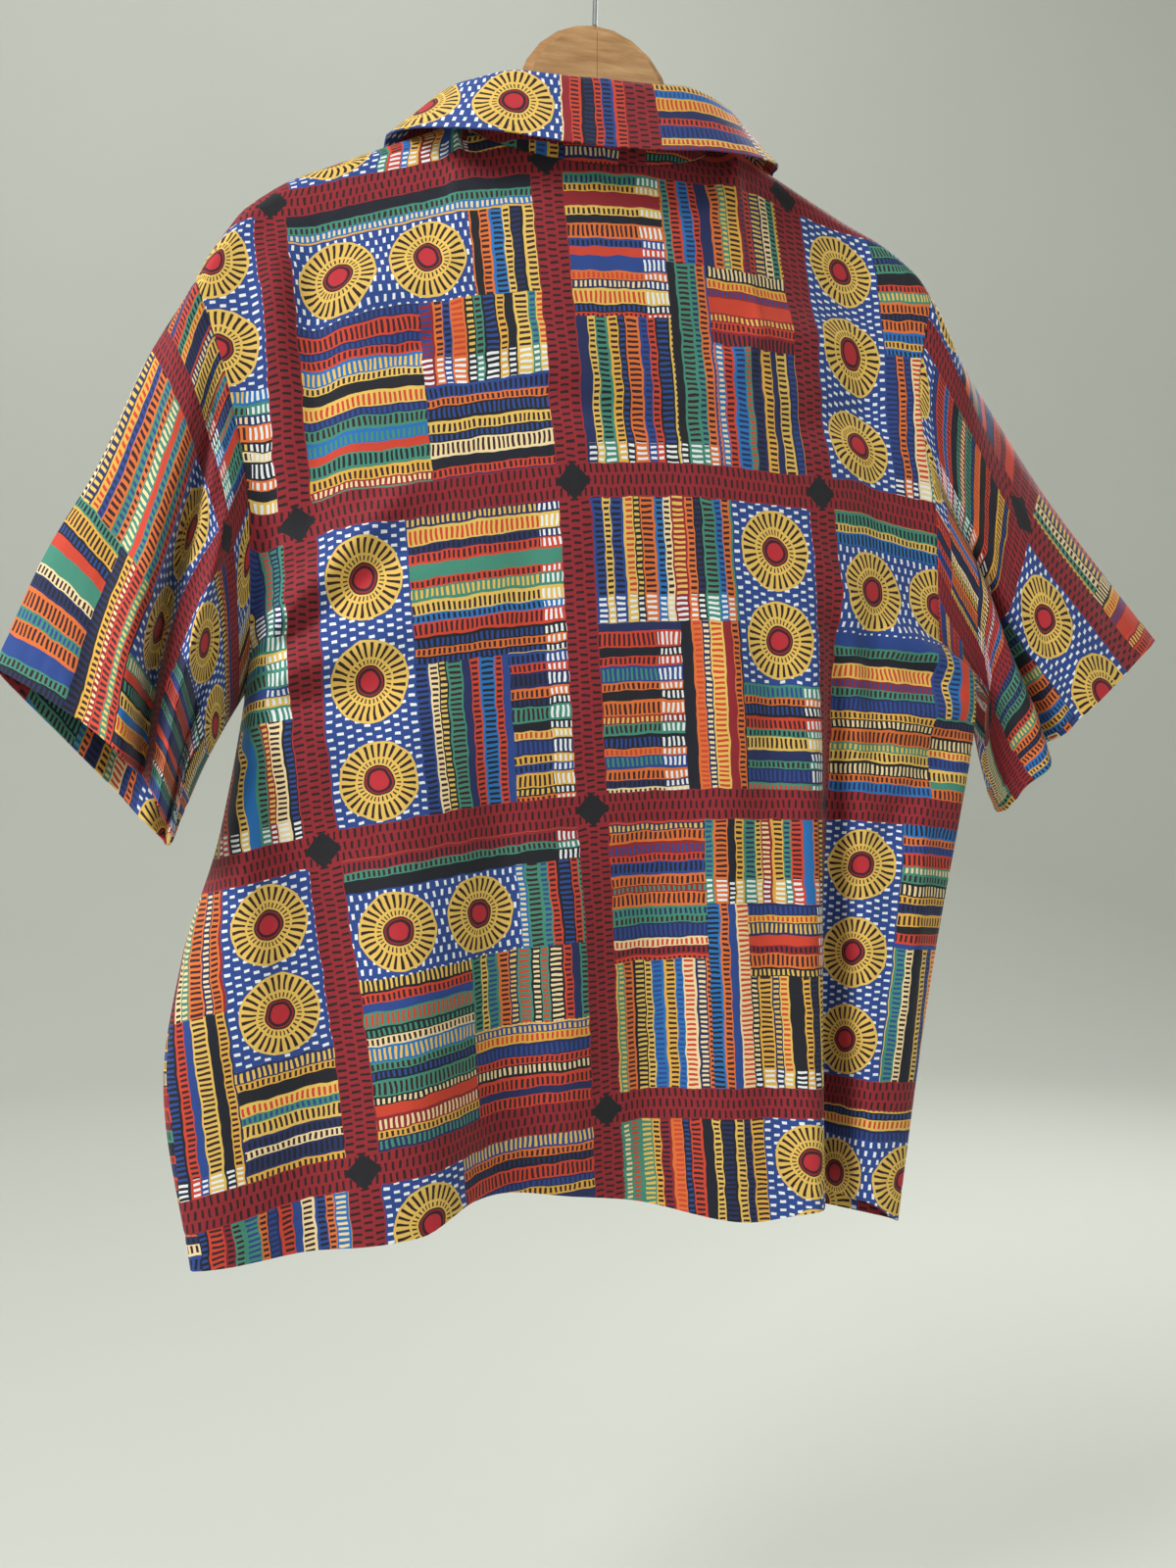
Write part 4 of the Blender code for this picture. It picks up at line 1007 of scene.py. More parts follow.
pattern = round_bar(BUTTON_RADIUS, BUTTON_THICK, (0, 0, 0), 32)
bpy.ops.object.mode_set(mode="EDIT")
bpy.ops.mesh.select_mode(type="FACE")
bpy.ops.mesh.select_all(action="DESELECT")
bpy.ops.object.mode_set(mode="OBJECT")
for face in pattern.data.polygons:
    face.select = face.normal.z > FACING_UP
bpy.ops.object.mode_set(mode="EDIT")
bpy.ops.mesh.inset(thickness=RIM_INSET, depth=0.0)
bpy.ops.mesh.inset(thickness=DISH_INSET, depth=-DISH_DEPTH)
bpy.ops.object.mode_set(mode="OBJECT")
rim = pattern.modifiers.new("rim", "BEVEL")
rim.width = RIM_BEVEL
rim.segments = 2
bpy.ops.object.modifier_apply(modifier="rim")
for x in (-HOLE_OUT, HOLE_OUT):
    for y in (-HOLE_OUT, HOLE_OUT):
        drill = round_bar(HOLE_RADIUS, 4 * BUTTON_THICK, (x, y, 0), 12)
        bpy.ops.object.select_all(action="DESELECT")
        pattern.select_set(True)
        bpy.context.view_layer.objects.active = pattern
        cut_out = pattern.modifiers.new("hole", "BOOLEAN")
        cut_out.object = drill
        cut_out.operation = "DIFFERENCE"
        cut_out.solver = "EXACT"
        bpy.ops.object.modifier_apply(modifier="hole")
        bpy.data.objects.remove(drill, do_unlink=True)
bpy.ops.object.shade_smooth_by_angle(angle=math.radians(ROUND_FACE_ANGLE))
print("button faces:", len(pattern.data.polygons))

# %% Sew five of them on, with their buttonholes
SHANK = 0.0008
BUTTON_THREAD, THREAD_OVER = 0.0004, 0.0002
HOLE_HALF_LENGTH, HOLE_SIDE_COLUMNS = 0.008, 0.14
HOLE_STEPS, HOLE_PITCH, HOLE_STITCH = 9, 0.0009, 0.0008
buttons = {}
net, ways = grids["front_left"], net_normals["front_left"]
for number in range(1, 6):
    low, high = (np.array(corner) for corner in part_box(f"button_{number}"))
    middle = (low + high) / 2
    near_row = int(np.argmin(np.abs(net[:, -1, 2] - middle[2])))
    column = np.interp(middle[0], net[near_row, :, 0], np.arange(net.shape[1]))
    heights = net[:, int(round(column)), 2]
    drops = -middle[2] + np.array([0, -HOLE_HALF_LENGTH, HOLE_HALF_LENGTH])
    row, top_row, low_row = np.interp(drops, -heights, np.arange(net.shape[0]))
    seat = on_net(net, [row], [column])[0]
    out = on_net(ways, [row], [column])[0]
    turn = Vector((0, 0, 1)).rotation_difference(Vector(out)).to_matrix().to_4x4()
    place = Matrix.Translation(Vector(seat + out * (BUTTON_THICK / 2 + SHANK))) @ turn
    mesh = pattern.data.copy()
    mesh.transform(place)
    buttons[f"button_{number}"] = add_object(f"turned_button_{number}", mesh)
    for corner in (1, -1):
        ends = [Vector((side * HOLE_OUT, side * corner * HOLE_OUT, THREAD_OVER)) for side in (-1, 1)]
        start, end = (np.array(place @ spot)[None] for spot in ends)
        stitch_rows["front_left"].append(spindle(start, end, out[None], BUTTON_THREAD))
    hole_rows = np.linspace(top_row, low_row, HOLE_STEPS)
    for side in (-HOLE_SIDE_COLUMNS, HOLE_SIDE_COLUMNS):
        sew("front_left", hole_rows, np.full(HOLE_STEPS, column + side), HOLE_PITCH, HOLE_STITCH)
bpy.data.objects.remove(pattern, do_unlink=True)
print("buttons:", len(buttons))


# %% Gather the thread
def thread_mesh(name, spindles):
    faces = (SPINDLE_FACES[None] + 6 * np.arange(len(spindles))[:, None, None]).reshape(-1, 3)
    mesh = bpy.data.meshes.new(name)
    mesh.from_pydata(spindles.reshape(-1, 3).tolist(), [], faces.tolist())
    mesh.shade_smooth()
    return add_object(name, mesh)


# %% [markdown]
# ## The print
#
# The cloth is a patchwork print. Dark red bars with running stitches cross in black diamonds, and the
# fields between them are filled with blocks of ticked stripes and with blue blocks that carry discs. A
# short chart lists the blocks of four fields, in millimetres from a field's corner, and node groups draw
# each kind of block. The layout and the discs are a generic design of the kind.
#
# ### Helpers for nodes
#
# A pattern like this needs some hundreds of nodes. A small desk that adds a node and joins its inputs in
# one call keeps each step of the pattern on a line or two. What several materials use is a node group.

# %% Node helpers
def colour(red, green, blue):
    """A colour given as on a screen, from 0 to 255, for a node."""
    values = [value / 255 for value in (red, green, blue)]
    linear = [v / 12.92 if v <= 0.04045 else ((v + 0.055) / 1.055) ** 2.4 for v in values]
    return (*linear, 1.0)


class Desk:
    """Adds nodes to one tree. Numbers, colours and sockets can all be given as inputs."""

    def __init__(self, tree):
        self.tree = tree

    def add(self, kind, *inputs, out=0, **settings):
        node = self.tree.nodes.new(kind)
        for name, value in settings.items():
            setattr(node, name, value)
        for socket, value in zip(node.inputs, inputs):
            self.feed(socket, value)
        return node.outputs[out]

    def feed(self, socket, value):
        if value is None:
            return
        if isinstance(value, bpy.types.NodeSocket):
            self.tree.links.new(value, socket)
        elif hasattr(socket, "default_value"):
            socket.default_value = value

    def math(self, operation, *inputs):
        return self.add("ShaderNodeMath", *inputs, operation=operation)

    def vector(self, operation, *inputs, out=0):
        return self.add("ShaderNodeVectorMath", *inputs, operation=operation, out=out)

    def blend(self, share, a, b):
        """Mixes two colours."""
        node = self.tree.nodes.new("ShaderNodeMix")
        node.data_type = "RGBA"
        self.feed(node.inputs["Factor"], share)
        self.feed(node.inputs[6], a)
        self.feed(node.inputs[7], b)
        return node.outputs[2]

    def split(self, vector):
        node = self.tree.nodes.new("ShaderNodeSeparateXYZ")
        self.feed(node.inputs[0], vector)
        return node.outputs

    def join(self, x, y, z=0.0):
        return self.add("ShaderNodeCombineXYZ", x, y, z)

    def both(self, *masks):
        """A mask that is 1 where all masks are."""
        joined = masks[0]
        for mask in masks[1:]:
            joined = self.math("MULTIPLY", joined, mask)
        return joined

    def within(self, value, low, high):
        return self.both(self.math("GREATER_THAN", value, low), self.math("LESS_THAN", value, high))

    def whole(self, value):
        return self.math("FLOOR", value)

    def part(self, value):
        return self.math("FRACT", value)

    def odd(self, index):
        """A mask that is 1 for odd whole numbers."""
        return self.math("GREATER_THAN", self.part(self.math("MULTIPLY", index, 0.5)), 0.25)

    def object_place(self):
        """Object coordinates."""
        return self.add("ShaderNodeTexCoord", out=3)

    def cloud(self, place, scale, detail, *rest, out=0):
        """Soft noise. The rest may give its roughness, lacunarity and distortion."""
        return self.add("ShaderNodeTexNoise", place, None, scale, detail, *rest, out=out)

    def dashes(self, run, row, kind):
        """A mask of dashes in rows. Each row starts half a dash further on than the last."""
        shifted = self.math("ADD", self.math("DIVIDE", run, kind.pitch),
                            self.math("MULTIPLY", self.whole(row), 0.5))
        return self.both(self.within(self.part(shifted), kind.start, kind.end),
                         self.within(self.part(row), kind.low, kind.high))

    def luck(self, value, seed):
        """A number from 0 to 1 for each whole number."""
        return self.add("ShaderNodeTexWhiteNoise", self.join(value, seed), noise_dimensions="2D")

    def steps(self, value, stops):
        """Picks a colour by value: stops are (start, colour)."""
        node = self.tree.nodes.new("ShaderNodeValToRGB")
        ramp = node.color_ramp
        ramp.interpolation = "CONSTANT"
        while len(ramp.elements) < len(stops):
            ramp.elements.new(0.5)
        for element, (start, shade) in zip(ramp.elements, stops):
            element.position = start
            element.color = shade
        self.feed(node.inputs[0], value)
        return node.outputs[0]

    def group(self, tree, **inputs):
        node = self.tree.nodes.new("ShaderNodeGroup")
        node.node_tree = tree
        for name, value in inputs.items():
            self.feed(node.inputs[name], value)
        return node.outputs


# %% New groups
def new_group(name, inputs, outputs):
    """A node group with named sockets. Returns its tree, its desk, its inputs and its output node."""
    tree = bpy.data.node_groups.new(name, "ShaderNodeTree")
    for socket, kind in inputs:
        tree.interface.new_socket(name=socket, in_out="INPUT", socket_type=kind)
    for socket, kind in outputs:
        tree.interface.new_socket(name=socket, in_out="OUTPUT", socket_type=kind)
    given = tree.nodes.new("NodeGroupInput")
    result = tree.nodes.new("NodeGroupOutput")
    return tree, Desk(tree), given.outputs, result


FLOAT, VECTOR, COLOUR = "NodeSocketFloat", "NodeSocketVector", "NodeSocketColor"
Dashes = namedtuple("Dashes", "pitch start end low high")

# %% [markdown]
# ### Inks
#
# Colours are given as they look on a screen and turned into linear light for the nodes. The inks are a
# little dulled, as dyes on cotton are, because pure colours would look like plastic.

# %% Inks
RED = colour(146, 34, 44)
DASH = colour(44, 20, 26)
BLACK = colour(27, 27, 33)
COBALT = colour(40, 70, 142)
BRIGHT = colour(36, 112, 184)
NAVY = colour(34, 44, 92)
NIGHT = colour(23, 26, 40)
YELLOW = colour(230, 190, 94)
GOLD = colour(226, 172, 70)
ORANGE = colour(222, 112, 50)
VERMILION = colour(206, 66, 44)
TEAL = colour(66, 138, 118)
CREAM = colour(240, 215, 165)
WHITE = colour(236, 240, 244)
PLUM = colour(52, 25, 34)
HEART = colour(188, 40, 52)

# %% [markdown]
# ### Ticked stripes
#
# A block's stripes have uneven widths. Each is one ink, warm and cool by turns, with short ticks across
# it like the rungs of a ladder. Towards one end of some blocks the ticks turn white.

# %% The stripe group
STRIPE, STRIPE_LOW, STRIPE_HIGH = 0.0074, 0.16, 0.86
SWING, SWING_BEAT, SWING_SEED = 0.2, 2.2, 5.7
TICK, TICK_START, TICK_END = 0.0035, 0.26, 0.74
OTHER_SEED = 31.5
PLUM_TICKS, TICKED_STRIPES = 0.84, 0.93
WHITE_REACH, WHITE_SEED, WITHOUT_WHITE = 0.017, 0.37, 0.62
stripe_tree, desk, given, result = new_group(
    "Ticked stripes", [("Run", FLOAT), ("Across", FLOAT), ("From End", FLOAT), ("Seed", FLOAT)],
    [("Color", COLOUR)])
count = desk.math("DIVIDE", given["Across"], STRIPE)
swing = desk.math("SINE", desk.math("MULTIPLY_ADD", count, SWING_BEAT,
                                    desk.math("MULTIPLY", given["Seed"], SWING_SEED)))
count = desk.math("MULTIPLY_ADD", swing, SWING, count)
index, height = desk.whole(count), desk.part(count)
luck = desk.luck(index, given["Seed"])
other_luck = desk.luck(index, desk.math("ADD", given["Seed"], OTHER_SEED))
warm = desk.steps(luck, ((0.0, YELLOW), (0.17, ORANGE), (0.38, CREAM), (0.46, VERMILION), (0.74, GOLD),
                         (0.86, TEAL)))
cool = desk.steps(luck, ((0.0, NIGHT), (0.22, NAVY), (0.40, COBALT), (0.50, TEAL), (0.66, BRIGHT),
                         (0.76, RED), (0.86, BLACK)))
cool_tick = desk.steps(other_luck, ((0.0, COBALT), (0.25, YELLOW), (0.40, NIGHT), (0.64, CREAM),
                                    (0.76, NAVY), (0.90, TEAL)))
is_warm = desk.odd(index)
is_cool = desk.math("SUBTRACT", 1.0, is_warm)
ground = desk.blend(is_warm, cool, warm)
warm_tick = desk.blend(desk.math("GREATER_THAN", other_luck, PLUM_TICKS), PLUM, VERMILION)
rung = desk.blend(is_warm, cool_tick, warm_tick)
run = desk.math("ADD", desk.math("DIVIDE", given["Run"], TICK), other_luck)
on_rung = desk.within(desk.part(run), TICK_START, TICK_END)
in_stripe = desk.within(height, STRIPE_LOW, STRIPE_HIGH)
plain = desk.both(desk.math("GREATER_THAN", other_luck, TICKED_STRIPES), is_cool)
ticked = desk.both(on_rung, in_stripe, desk.math("SUBTRACT", 1.0, plain))
block_luck = desk.part(desk.math("MULTIPLY", given["Seed"], WHITE_SEED))
near_end = desk.both(desk.math("LESS_THAN", given["From End"], WHITE_REACH),
                     desk.math("GREATER_THAN", block_luck, WITHOUT_WHITE))
rung = desk.blend(near_end, rung, WHITE)
desk.feed(result.inputs["Color"], desk.blend(ticked, ground, rung))

# %% [markdown]
# ### Discs on blue
#
# A disc is a yellow sun with two rings of dark rays and a red heart. White dashes in rows cover the blue
# ground round it.

# %% The disc group
DISC_RADIUS = 0.0262
HEART_RINGS = ((0.0100, PLUM), (0.0090, RED), (0.0080, PLUM), (0.0062, HEART))
DASH_ROW = 0.0062
WHITE_DASHES = Dashes(0.0058, 0.34, 0.66, 0.18, 0.80)
RayRing = namedtuple("RayRing", "radius count length width")
RAY_RINGS = (
    RayRing(0.0202, 30, 0.0090, 0.42),
    RayRing(0.0126, 30, 0.0030, 0.36),
)
disc_tree, desk, given, result = new_group(
    "Discs on blue", [("Run", FLOAT), ("Across", FLOAT), ("Pitch", FLOAT), ("Width", FLOAT)],
    [("Color", COLOUR)])
cell = desk.math("DIVIDE", given["Run"], given["Pitch"])
x = desk.math("MULTIPLY", desk.math("SUBTRACT", desk.part(cell), 0.5), given["Pitch"])
y = desk.math("SUBTRACT", given["Across"], desk.math("MULTIPLY", given["Width"], 0.5))
radius = desk.vector("LENGTH", desk.join(x, y), out=1)
turn = desk.math("DIVIDE", desk.math("ARCTAN2", y, x), 2 * math.pi)
row = desk.math("DIVIDE", given["Across"], DASH_ROW)
shade = desk.blend(desk.dashes(given["Run"], row, WHITE_DASHES), COBALT, WHITE)
shade = desk.blend(desk.math("LESS_THAN", radius, DISC_RADIUS), shade, YELLOW)
rays = None
for ring in RAY_RINGS:
    spot = desk.part(desk.math("MULTIPLY", turn, ring.count))
    mask = desk.both(desk.within(spot, 0.5 - ring.width / 2, 0.5 + ring.width / 2),
                     desk.within(radius, ring.radius - ring.length / 2, ring.radius + ring.length / 2))
    rays = mask if rays is None else desk.math("ADD", rays, mask)
shade = desk.blend(rays, shade, DASH)
for reach, ink in HEART_RINGS:
    shade = desk.blend(desk.math("LESS_THAN", radius, reach), shade, ink)
desk.feed(result.inputs["Color"], shade)

# %% [markdown]
# ### Fields and bars
#
# The bars repeat every 190 by 212 mm. Which of the four fields lies in a cell depends on its column and
# its row, so the same field never touches itself.

# %% The chart of the fields
FIELD_WIDE, FIELD_TALL = 0.190, 0.212
BAR_WIDE, BAR_TALL = 0.0225, 0.0215
CROSSING_REACH = 0.56
MOST_BLOCKS = 32
FIELDS, ROW_SHIFT = 4.0, 2.0
Block = namedtuple("Block", "field left top right low kind discs")
CHART = (
    Block(0, 0, 0, 104, 78, "upright", 0),
    Block(0, 104, 0, 170, 118, "discs_down", 2),
    Block(0, 0, 78, 60, 195, "level", 0),
    Block(0, 60, 78, 104, 195, "upright", 0),
    Block(0, 104, 118, 170, 195, "level", 0),
    Block(1, 0, 0, 170, 22, "level", 0),
    Block(1, 0, 22, 122, 80, "discs_along", 2),
    Block(1, 122, 22, 170, 80, "upright", 0),
    Block(1, 0, 80, 82, 195, "level", 0),
    Block(1, 82, 80, 170, 132, "upright", 0),
    Block(1, 82, 132, 170, 195, "level", 0),
    Block(2, 0, 0, 70, 98, "level", 0),
    Block(2, 70, 0, 170, 60, "upright", 0),
    Block(2, 70, 60, 100, 195, "upright", 0),
    Block(2, 100, 60, 170, 112, "level", 0),
    Block(2, 0, 98, 70, 195, "upright", 0),
    Block(2, 100, 112, 170, 195, "upright", 0),
    Block(3, 0, 0, 62, 195, "discs_down", 3),
    Block(3, 62, 0, 170, 92, "level", 0),
    Block(3, 62, 92, 126, 195, "upright", 0),
    Block(3, 126, 92, 170, 195, "level", 0),
)
UPRIGHT = ("upright", "discs_down")

# %% A group that says whether a place is in a block
block_tree, desk, given, result = new_group(
    "Block", [("Place", VECTOR), ("Low", VECTOR), ("High", VECTOR)], [("Mask", FLOAT)])
inside = desk.vector("MINIMUM", desk.vector("SUBTRACT", given["Place"], given["Low"]),
                     desk.vector("SUBTRACT", given["High"], given["Place"]))
x, y, _ = desk.split(inside)
desk.feed(result.inputs["Mask"], desk.math("GREATER_THAN", desk.math("MINIMUM", x, y), 0.0))

# %% Fields of the print
WOBBLE, WOBBLE_SCALE = 0.0032, 75.0
print_tree, desk, given, result = new_group("Patchwork print", [("Place", VECTOR)], [("Color", COLOUR)])
wobble = desk.cloud(given["Place"], WOBBLE_SCALE, 1.0, out=1)
shaken = desk.vector("ADD", given["Place"], desk.vector(
    "MULTIPLY", desk.vector("SUBTRACT", wobble, (0.5, 0.5, 0.5)), (WOBBLE, WOBBLE, 0.0)))
x, y, _ = desk.split(shaken)
across, down = desk.math("DIVIDE", x, FIELD_WIDE), desk.math("DIVIDE", y, FIELD_TALL)
cell_x, cell_y = desk.whole(across), desk.whole(down)
local_x = desk.math("MULTIPLY", desk.part(across), FIELD_WIDE)
local_y = desk.math("MULTIPLY", desk.part(down), FIELD_TALL)
field = desk.math("ROUND", desk.math("MULTIPLY", desk.part(desk.math(
    "DIVIDE", desk.math("MULTIPLY_ADD", cell_y, ROW_SHIFT, cell_x), FIELDS)), FIELDS))
in_x = desk.math("SUBTRACT", local_x, BAR_WIDE)
in_y = desk.math("SUBTRACT", local_y, BAR_TALL)
place = desk.join(desk.math("ADD", in_x, field), in_y)

# %% [markdown]
# A block is found by its number. The masks of all blocks add up to the number of the one that holds the
# place, or to 0, and that number picks the block's corner and size from two stepped ramps. This keeps
# the costly groups for stripes and discs to one of each.

# %% Blocks of a field
SEED_BLOCK, SEED_COLUMN, SEED_ROW = 1.37, 3.1, 7.3
LEAST_PITCH = 0.01
number = 0.0
corners, sizes = [], []
for index, block in enumerate(CHART, start=1):
    left, top, right, low = (edge / 1000 for edge in block[1:5])
    mask = desk.group(block_tree, Place=place, Low=(block.field + left, top, 0),
                      High=(block.field + right, low, 0))["Mask"]
    number = desk.math("MULTIPLY_ADD", mask, index, number)
    upright = block.kind in UPRIGHT
    long_way, short_way = (low - top, right - left) if upright else (right - left, low - top)
    pitch = long_way / block.discs if block.discs else 0
    start = (index - 0.5) / MOST_BLOCKS
    corners.append((start, (left, top, upright, 1)))
    sizes.append((start, (long_way, short_way, pitch, 1)))
key = desk.math("DIVIDE", number, MOST_BLOCKS)
low_x, low_y, upright = desk.split(desk.steps(key, corners))
long_way, short_way, pitch = desk.split(desk.steps(key, sizes))
has_discs = desk.math("GREATER_THAN", pitch, 0.0)
seed = desk.math("MULTIPLY_ADD", number, SEED_BLOCK, desk.math(
    "MULTIPLY_ADD", cell_x, SEED_COLUMN, desk.math("MULTIPLY", cell_y, SEED_ROW)))
from_x, from_y = desk.math("SUBTRACT", in_x, low_x), desk.math("SUBTRACT", in_y, low_y)
run = desk.add("ShaderNodeMix", upright, None, from_x, from_y, data_type="FLOAT")
side = desk.add("ShaderNodeMix", upright, None, from_y, from_x, data_type="FLOAT")
stripes = desk.group(stripe_tree, Run=run, Across=side, Seed=seed,
                     **{"From End": desk.math("SUBTRACT", long_way, run)})["Color"]
discs = desk.group(disc_tree, Run=run, Across=side, Width=short_way,
                   Pitch=desk.math("MAXIMUM", pitch, LEAST_PITCH))["Color"]
shade = desk.blend(has_discs, stripes, discs)
print("print blocks:", len(CHART))

# %% Bars over the fields
BAR_ROWS = 3
BAR_DASHES = Dashes(0.0044, 0.33, 0.70, 0.10, 0.86)
for run_place, bar_place, bar_width in ((local_y, local_x, BAR_WIDE), (local_x, local_y, BAR_TALL)):
    row = desk.math("MULTIPLY", bar_place, BAR_ROWS / bar_width)
    dash = desk.dashes(run_place, row, BAR_DASHES)
    in_bar = desk.math("LESS_THAN", bar_place, bar_width)
    shade = desk.blend(in_bar, shade, desk.blend(dash, RED, DASH))
from_middle = [desk.math("ABSOLUTE", desk.math("SUBTRACT", desk.math("DIVIDE", place, width), 0.5))
               for place, width in ((local_x, BAR_WIDE), (local_y, BAR_TALL))]
crossing = desk.math("LESS_THAN", desk.math("ADD", *from_middle), CROSSING_REACH)
desk.feed(result.inputs["Color"], desk.blend(crossing, shade, BLACK))
print("nodes of the print:", len(print_tree.nodes))

# %% [markdown]
# ### Weave
#
# Close to, the cotton is a plain weave. Two fine waves across each other give its relief, and a slower
# noise adds the small crumples of worn cloth. Another noise makes the dye a little uneven.

# %% The weave group
YARN_HEIGHT = 0.00006
CRUMPLE_NOISE = (20.0, 3.0, 0.5, 2.0, 0.8)
DYE_NOISE = (24.0, 3.0)
DYE_SWING = 0.24
weave_tree, desk, given, result = new_group(
    "Weave", [("Place", VECTOR), ("Pitch", FLOAT), ("Crumple", FLOAT)], [("Height", FLOAT), ("Dye", FLOAT)])
x, y, _ = desk.split(given["Place"])
turns = desk.math("DIVIDE", 2 * math.pi, given["Pitch"])
warp = desk.math("SINE", desk.math("MULTIPLY", x, turns))
weft = desk.math("SINE", desk.math("MULTIPLY", y, turns))
yarns = desk.math("MULTIPLY", desk.math("MULTIPLY", warp, weft), YARN_HEIGHT)
soft = desk.cloud(given["Place"], *CRUMPLE_NOISE)
desk.feed(result.inputs["Height"], desk.math("MULTIPLY_ADD", soft, given["Crumple"], yarns))
uneven = desk.cloud(given["Place"], *DYE_NOISE)
desk.feed(result.inputs["Dye"], desk.math("MULTIPLY_ADD", uneven, DYE_SWING, 1 - DYE_SWING / 2))
print("nodes of the weave:", len(weave_tree.nodes))

# %% [markdown]
# ### Printed cotton
#
# All panels are cut from one cloth, each from another place and a little turned, so each gets its own
# material with the same groups. The print reads the flat places in the shell's UV map, and so it bends
# with the cloth. Cotton is matt, and its fibres give a faint sheen at the edges of the folds.


# %% Materials for the six panels
WEAVE_PITCH = 0.0011
CRUMPLE = 0.0022


def new_material(name, **looks):
    """A material with plain values on its shader, such as coat_weight for Coat Weight."""
    made = bpy.data.materials.new(name)
    made.use_nodes = True
    shader = made.node_tree.nodes["Principled BSDF"]
    for socket, value in looks.items():
        shader.inputs[socket.replace("_", " ").title()].default_value = value
    return made, Desk(made.node_tree), shader


def dress(thing, made):
    """Gives a piece or a node this one material."""
    thing.data.materials.clear()
    thing.data.materials.append(made)


def dyed(desk, shade, dye):
    """A colour made lighter or darker by a value near 1."""
    node = desk.tree.nodes.new("ShaderNodeVectorMath")
    node.operation = "SCALE"
    desk.feed(node.inputs[0], shade)
    desk.feed(node.inputs["Scale"], dye)
    return node.outputs[0]


def printed_cotton(name, turn, shift):
    """The printed cloth. Turn and shift place the print on a panel."""
    made, desk, shader = new_material(name, roughness=0.78, sheen_weight=0.12, sheen_roughness=0.5)
    shader.inputs["Specular IOR Level"].default_value = 0.35
    cloth_map = desk.add("ShaderNodeUVMap", uv_map="print")
    place = desk.add("ShaderNodeMapping", cloth_map, (*shift, 0), (0, 0, math.radians(turn)))
    shade = desk.group(print_tree, Place=place)["Color"]
    weave = desk.group(weave_tree, Place=cloth_map, Pitch=WEAVE_PITCH, Crumple=CRUMPLE)
    desk.feed(shader.inputs["Base Color"], dyed(desk, shade, weave["Dye"]))
    bump = desk.tree.nodes.new("ShaderNodeBump")
    bump.inputs["Strength"].default_value = 1.0
    bump.inputs["Distance"].default_value = 1.0
    desk.feed(bump.inputs["Height"], weave["Height"])
    desk.feed(shader.inputs["Normal"], bump.outputs[0])
    return made


cottons = {
    "back": printed_cotton("cotton back", 3.6, (0.066, 0.008)),
    "front_left": printed_cotton("cotton left front", -2.0, (0.31, 0.112)),
    "front_right": printed_cotton("cotton right front", 2.0, (0.87, 0.050)),
    "sleeve_left": printed_cotton("cotton left sleeve", 3.0, (0.42, 0.17)),
    "sleeve_right": printed_cotton("cotton right sleeve", -3.0, (0.15, 0.09)),
    "collar": printed_cotton("cotton collar", 0.0, (0.0425, -0.0215)),
}
for name, shell in shells.items():
    dress(shell, cottons[name])
print("cottons:", len(cottons))

# %% [markdown]
# ### Thread, buttons, wood and wire
#
# The thread is dark red like the bars, and its plies show as fine noise. The buttons are clouded dark
# blue plastic with a satin shine. The hanger is pale wood, so its noise is stretched along the length
# into grain and fibres under a thin varnish. The hook is steel wire whose polish varies a little.

# %% Thread and button
PLY_NOISE, HAZE_NOISE = (900.0, 2.0), (420.0, 3.0)
THREAD_DARK, THREAD_PALE = colour(60, 20, 28), colour(120, 44, 52)
BUTTON_DARK, BUTTON_PALE = colour(22, 24, 38), colour(52, 60, 92)
SATIN, SATIN_SWING = 0.22, 0.15
thread, desk, shader = new_material("sewing thread", roughness=0.6)
ply = desk.cloud(desk.object_place(), *PLY_NOISE)
desk.feed(shader.inputs["Base Color"], desk.blend(ply, THREAD_DARK, THREAD_PALE))

satin_plastic, desk, shader = new_material("navy button")
haze = desk.cloud(desk.object_place(), *HAZE_NOISE)
desk.feed(shader.inputs["Base Color"], desk.blend(haze, BUTTON_DARK, BUTTON_PALE))
desk.feed(shader.inputs["Roughness"], desk.math("MULTIPLY_ADD", haze, SATIN_SWING, SATIN))
for button in buttons.values():
    dress(button, satin_plastic)

# %% Wood and wire
GRAIN_STRETCH, FIBRE_STRETCH, WIRE_STRETCH = (1.0, 6.0, 6.0), (20.0, 500.0, 260.0), (1.0, 1.0, 8.0)
GRAIN_NOISE, FIBRE_NOISE, WIRE_NOISE = (26.0, 5.0, 0.62), (1.0, 2.0), (90.0, 3.0)
FIBRE_SHARE = 0.35
WOOD_TONES = ((0.35, colour(168, 122, 76)), (0.68, colour(214, 172, 122)))
STEEL = colour(176, 178, 182)
POLISH, POLISH_SWING = 0.22, 0.2
wood, desk, shader = new_material("pale wood", roughness=0.42, coat_weight=0.25, coat_roughness=0.2)
spot = desk.object_place()
grain = desk.cloud(desk.vector("MULTIPLY", spot, GRAIN_STRETCH), *GRAIN_NOISE)
fibre = desk.cloud(desk.vector("MULTIPLY", spot, FIBRE_STRETCH), *FIBRE_NOISE)
tone = desk.math("MULTIPLY_ADD", fibre, FIBRE_SHARE, desk.math("MULTIPLY", grain, 1 - FIBRE_SHARE))
ramp = desk.tree.nodes.new("ShaderNodeValToRGB")
for element, (start, shade) in zip(ramp.color_ramp.elements, WOOD_TONES):
    element.position = start
    element.color = shade
desk.feed(ramp.inputs[0], tone)
desk.feed(shader.inputs["Base Color"], ramp.outputs[0])

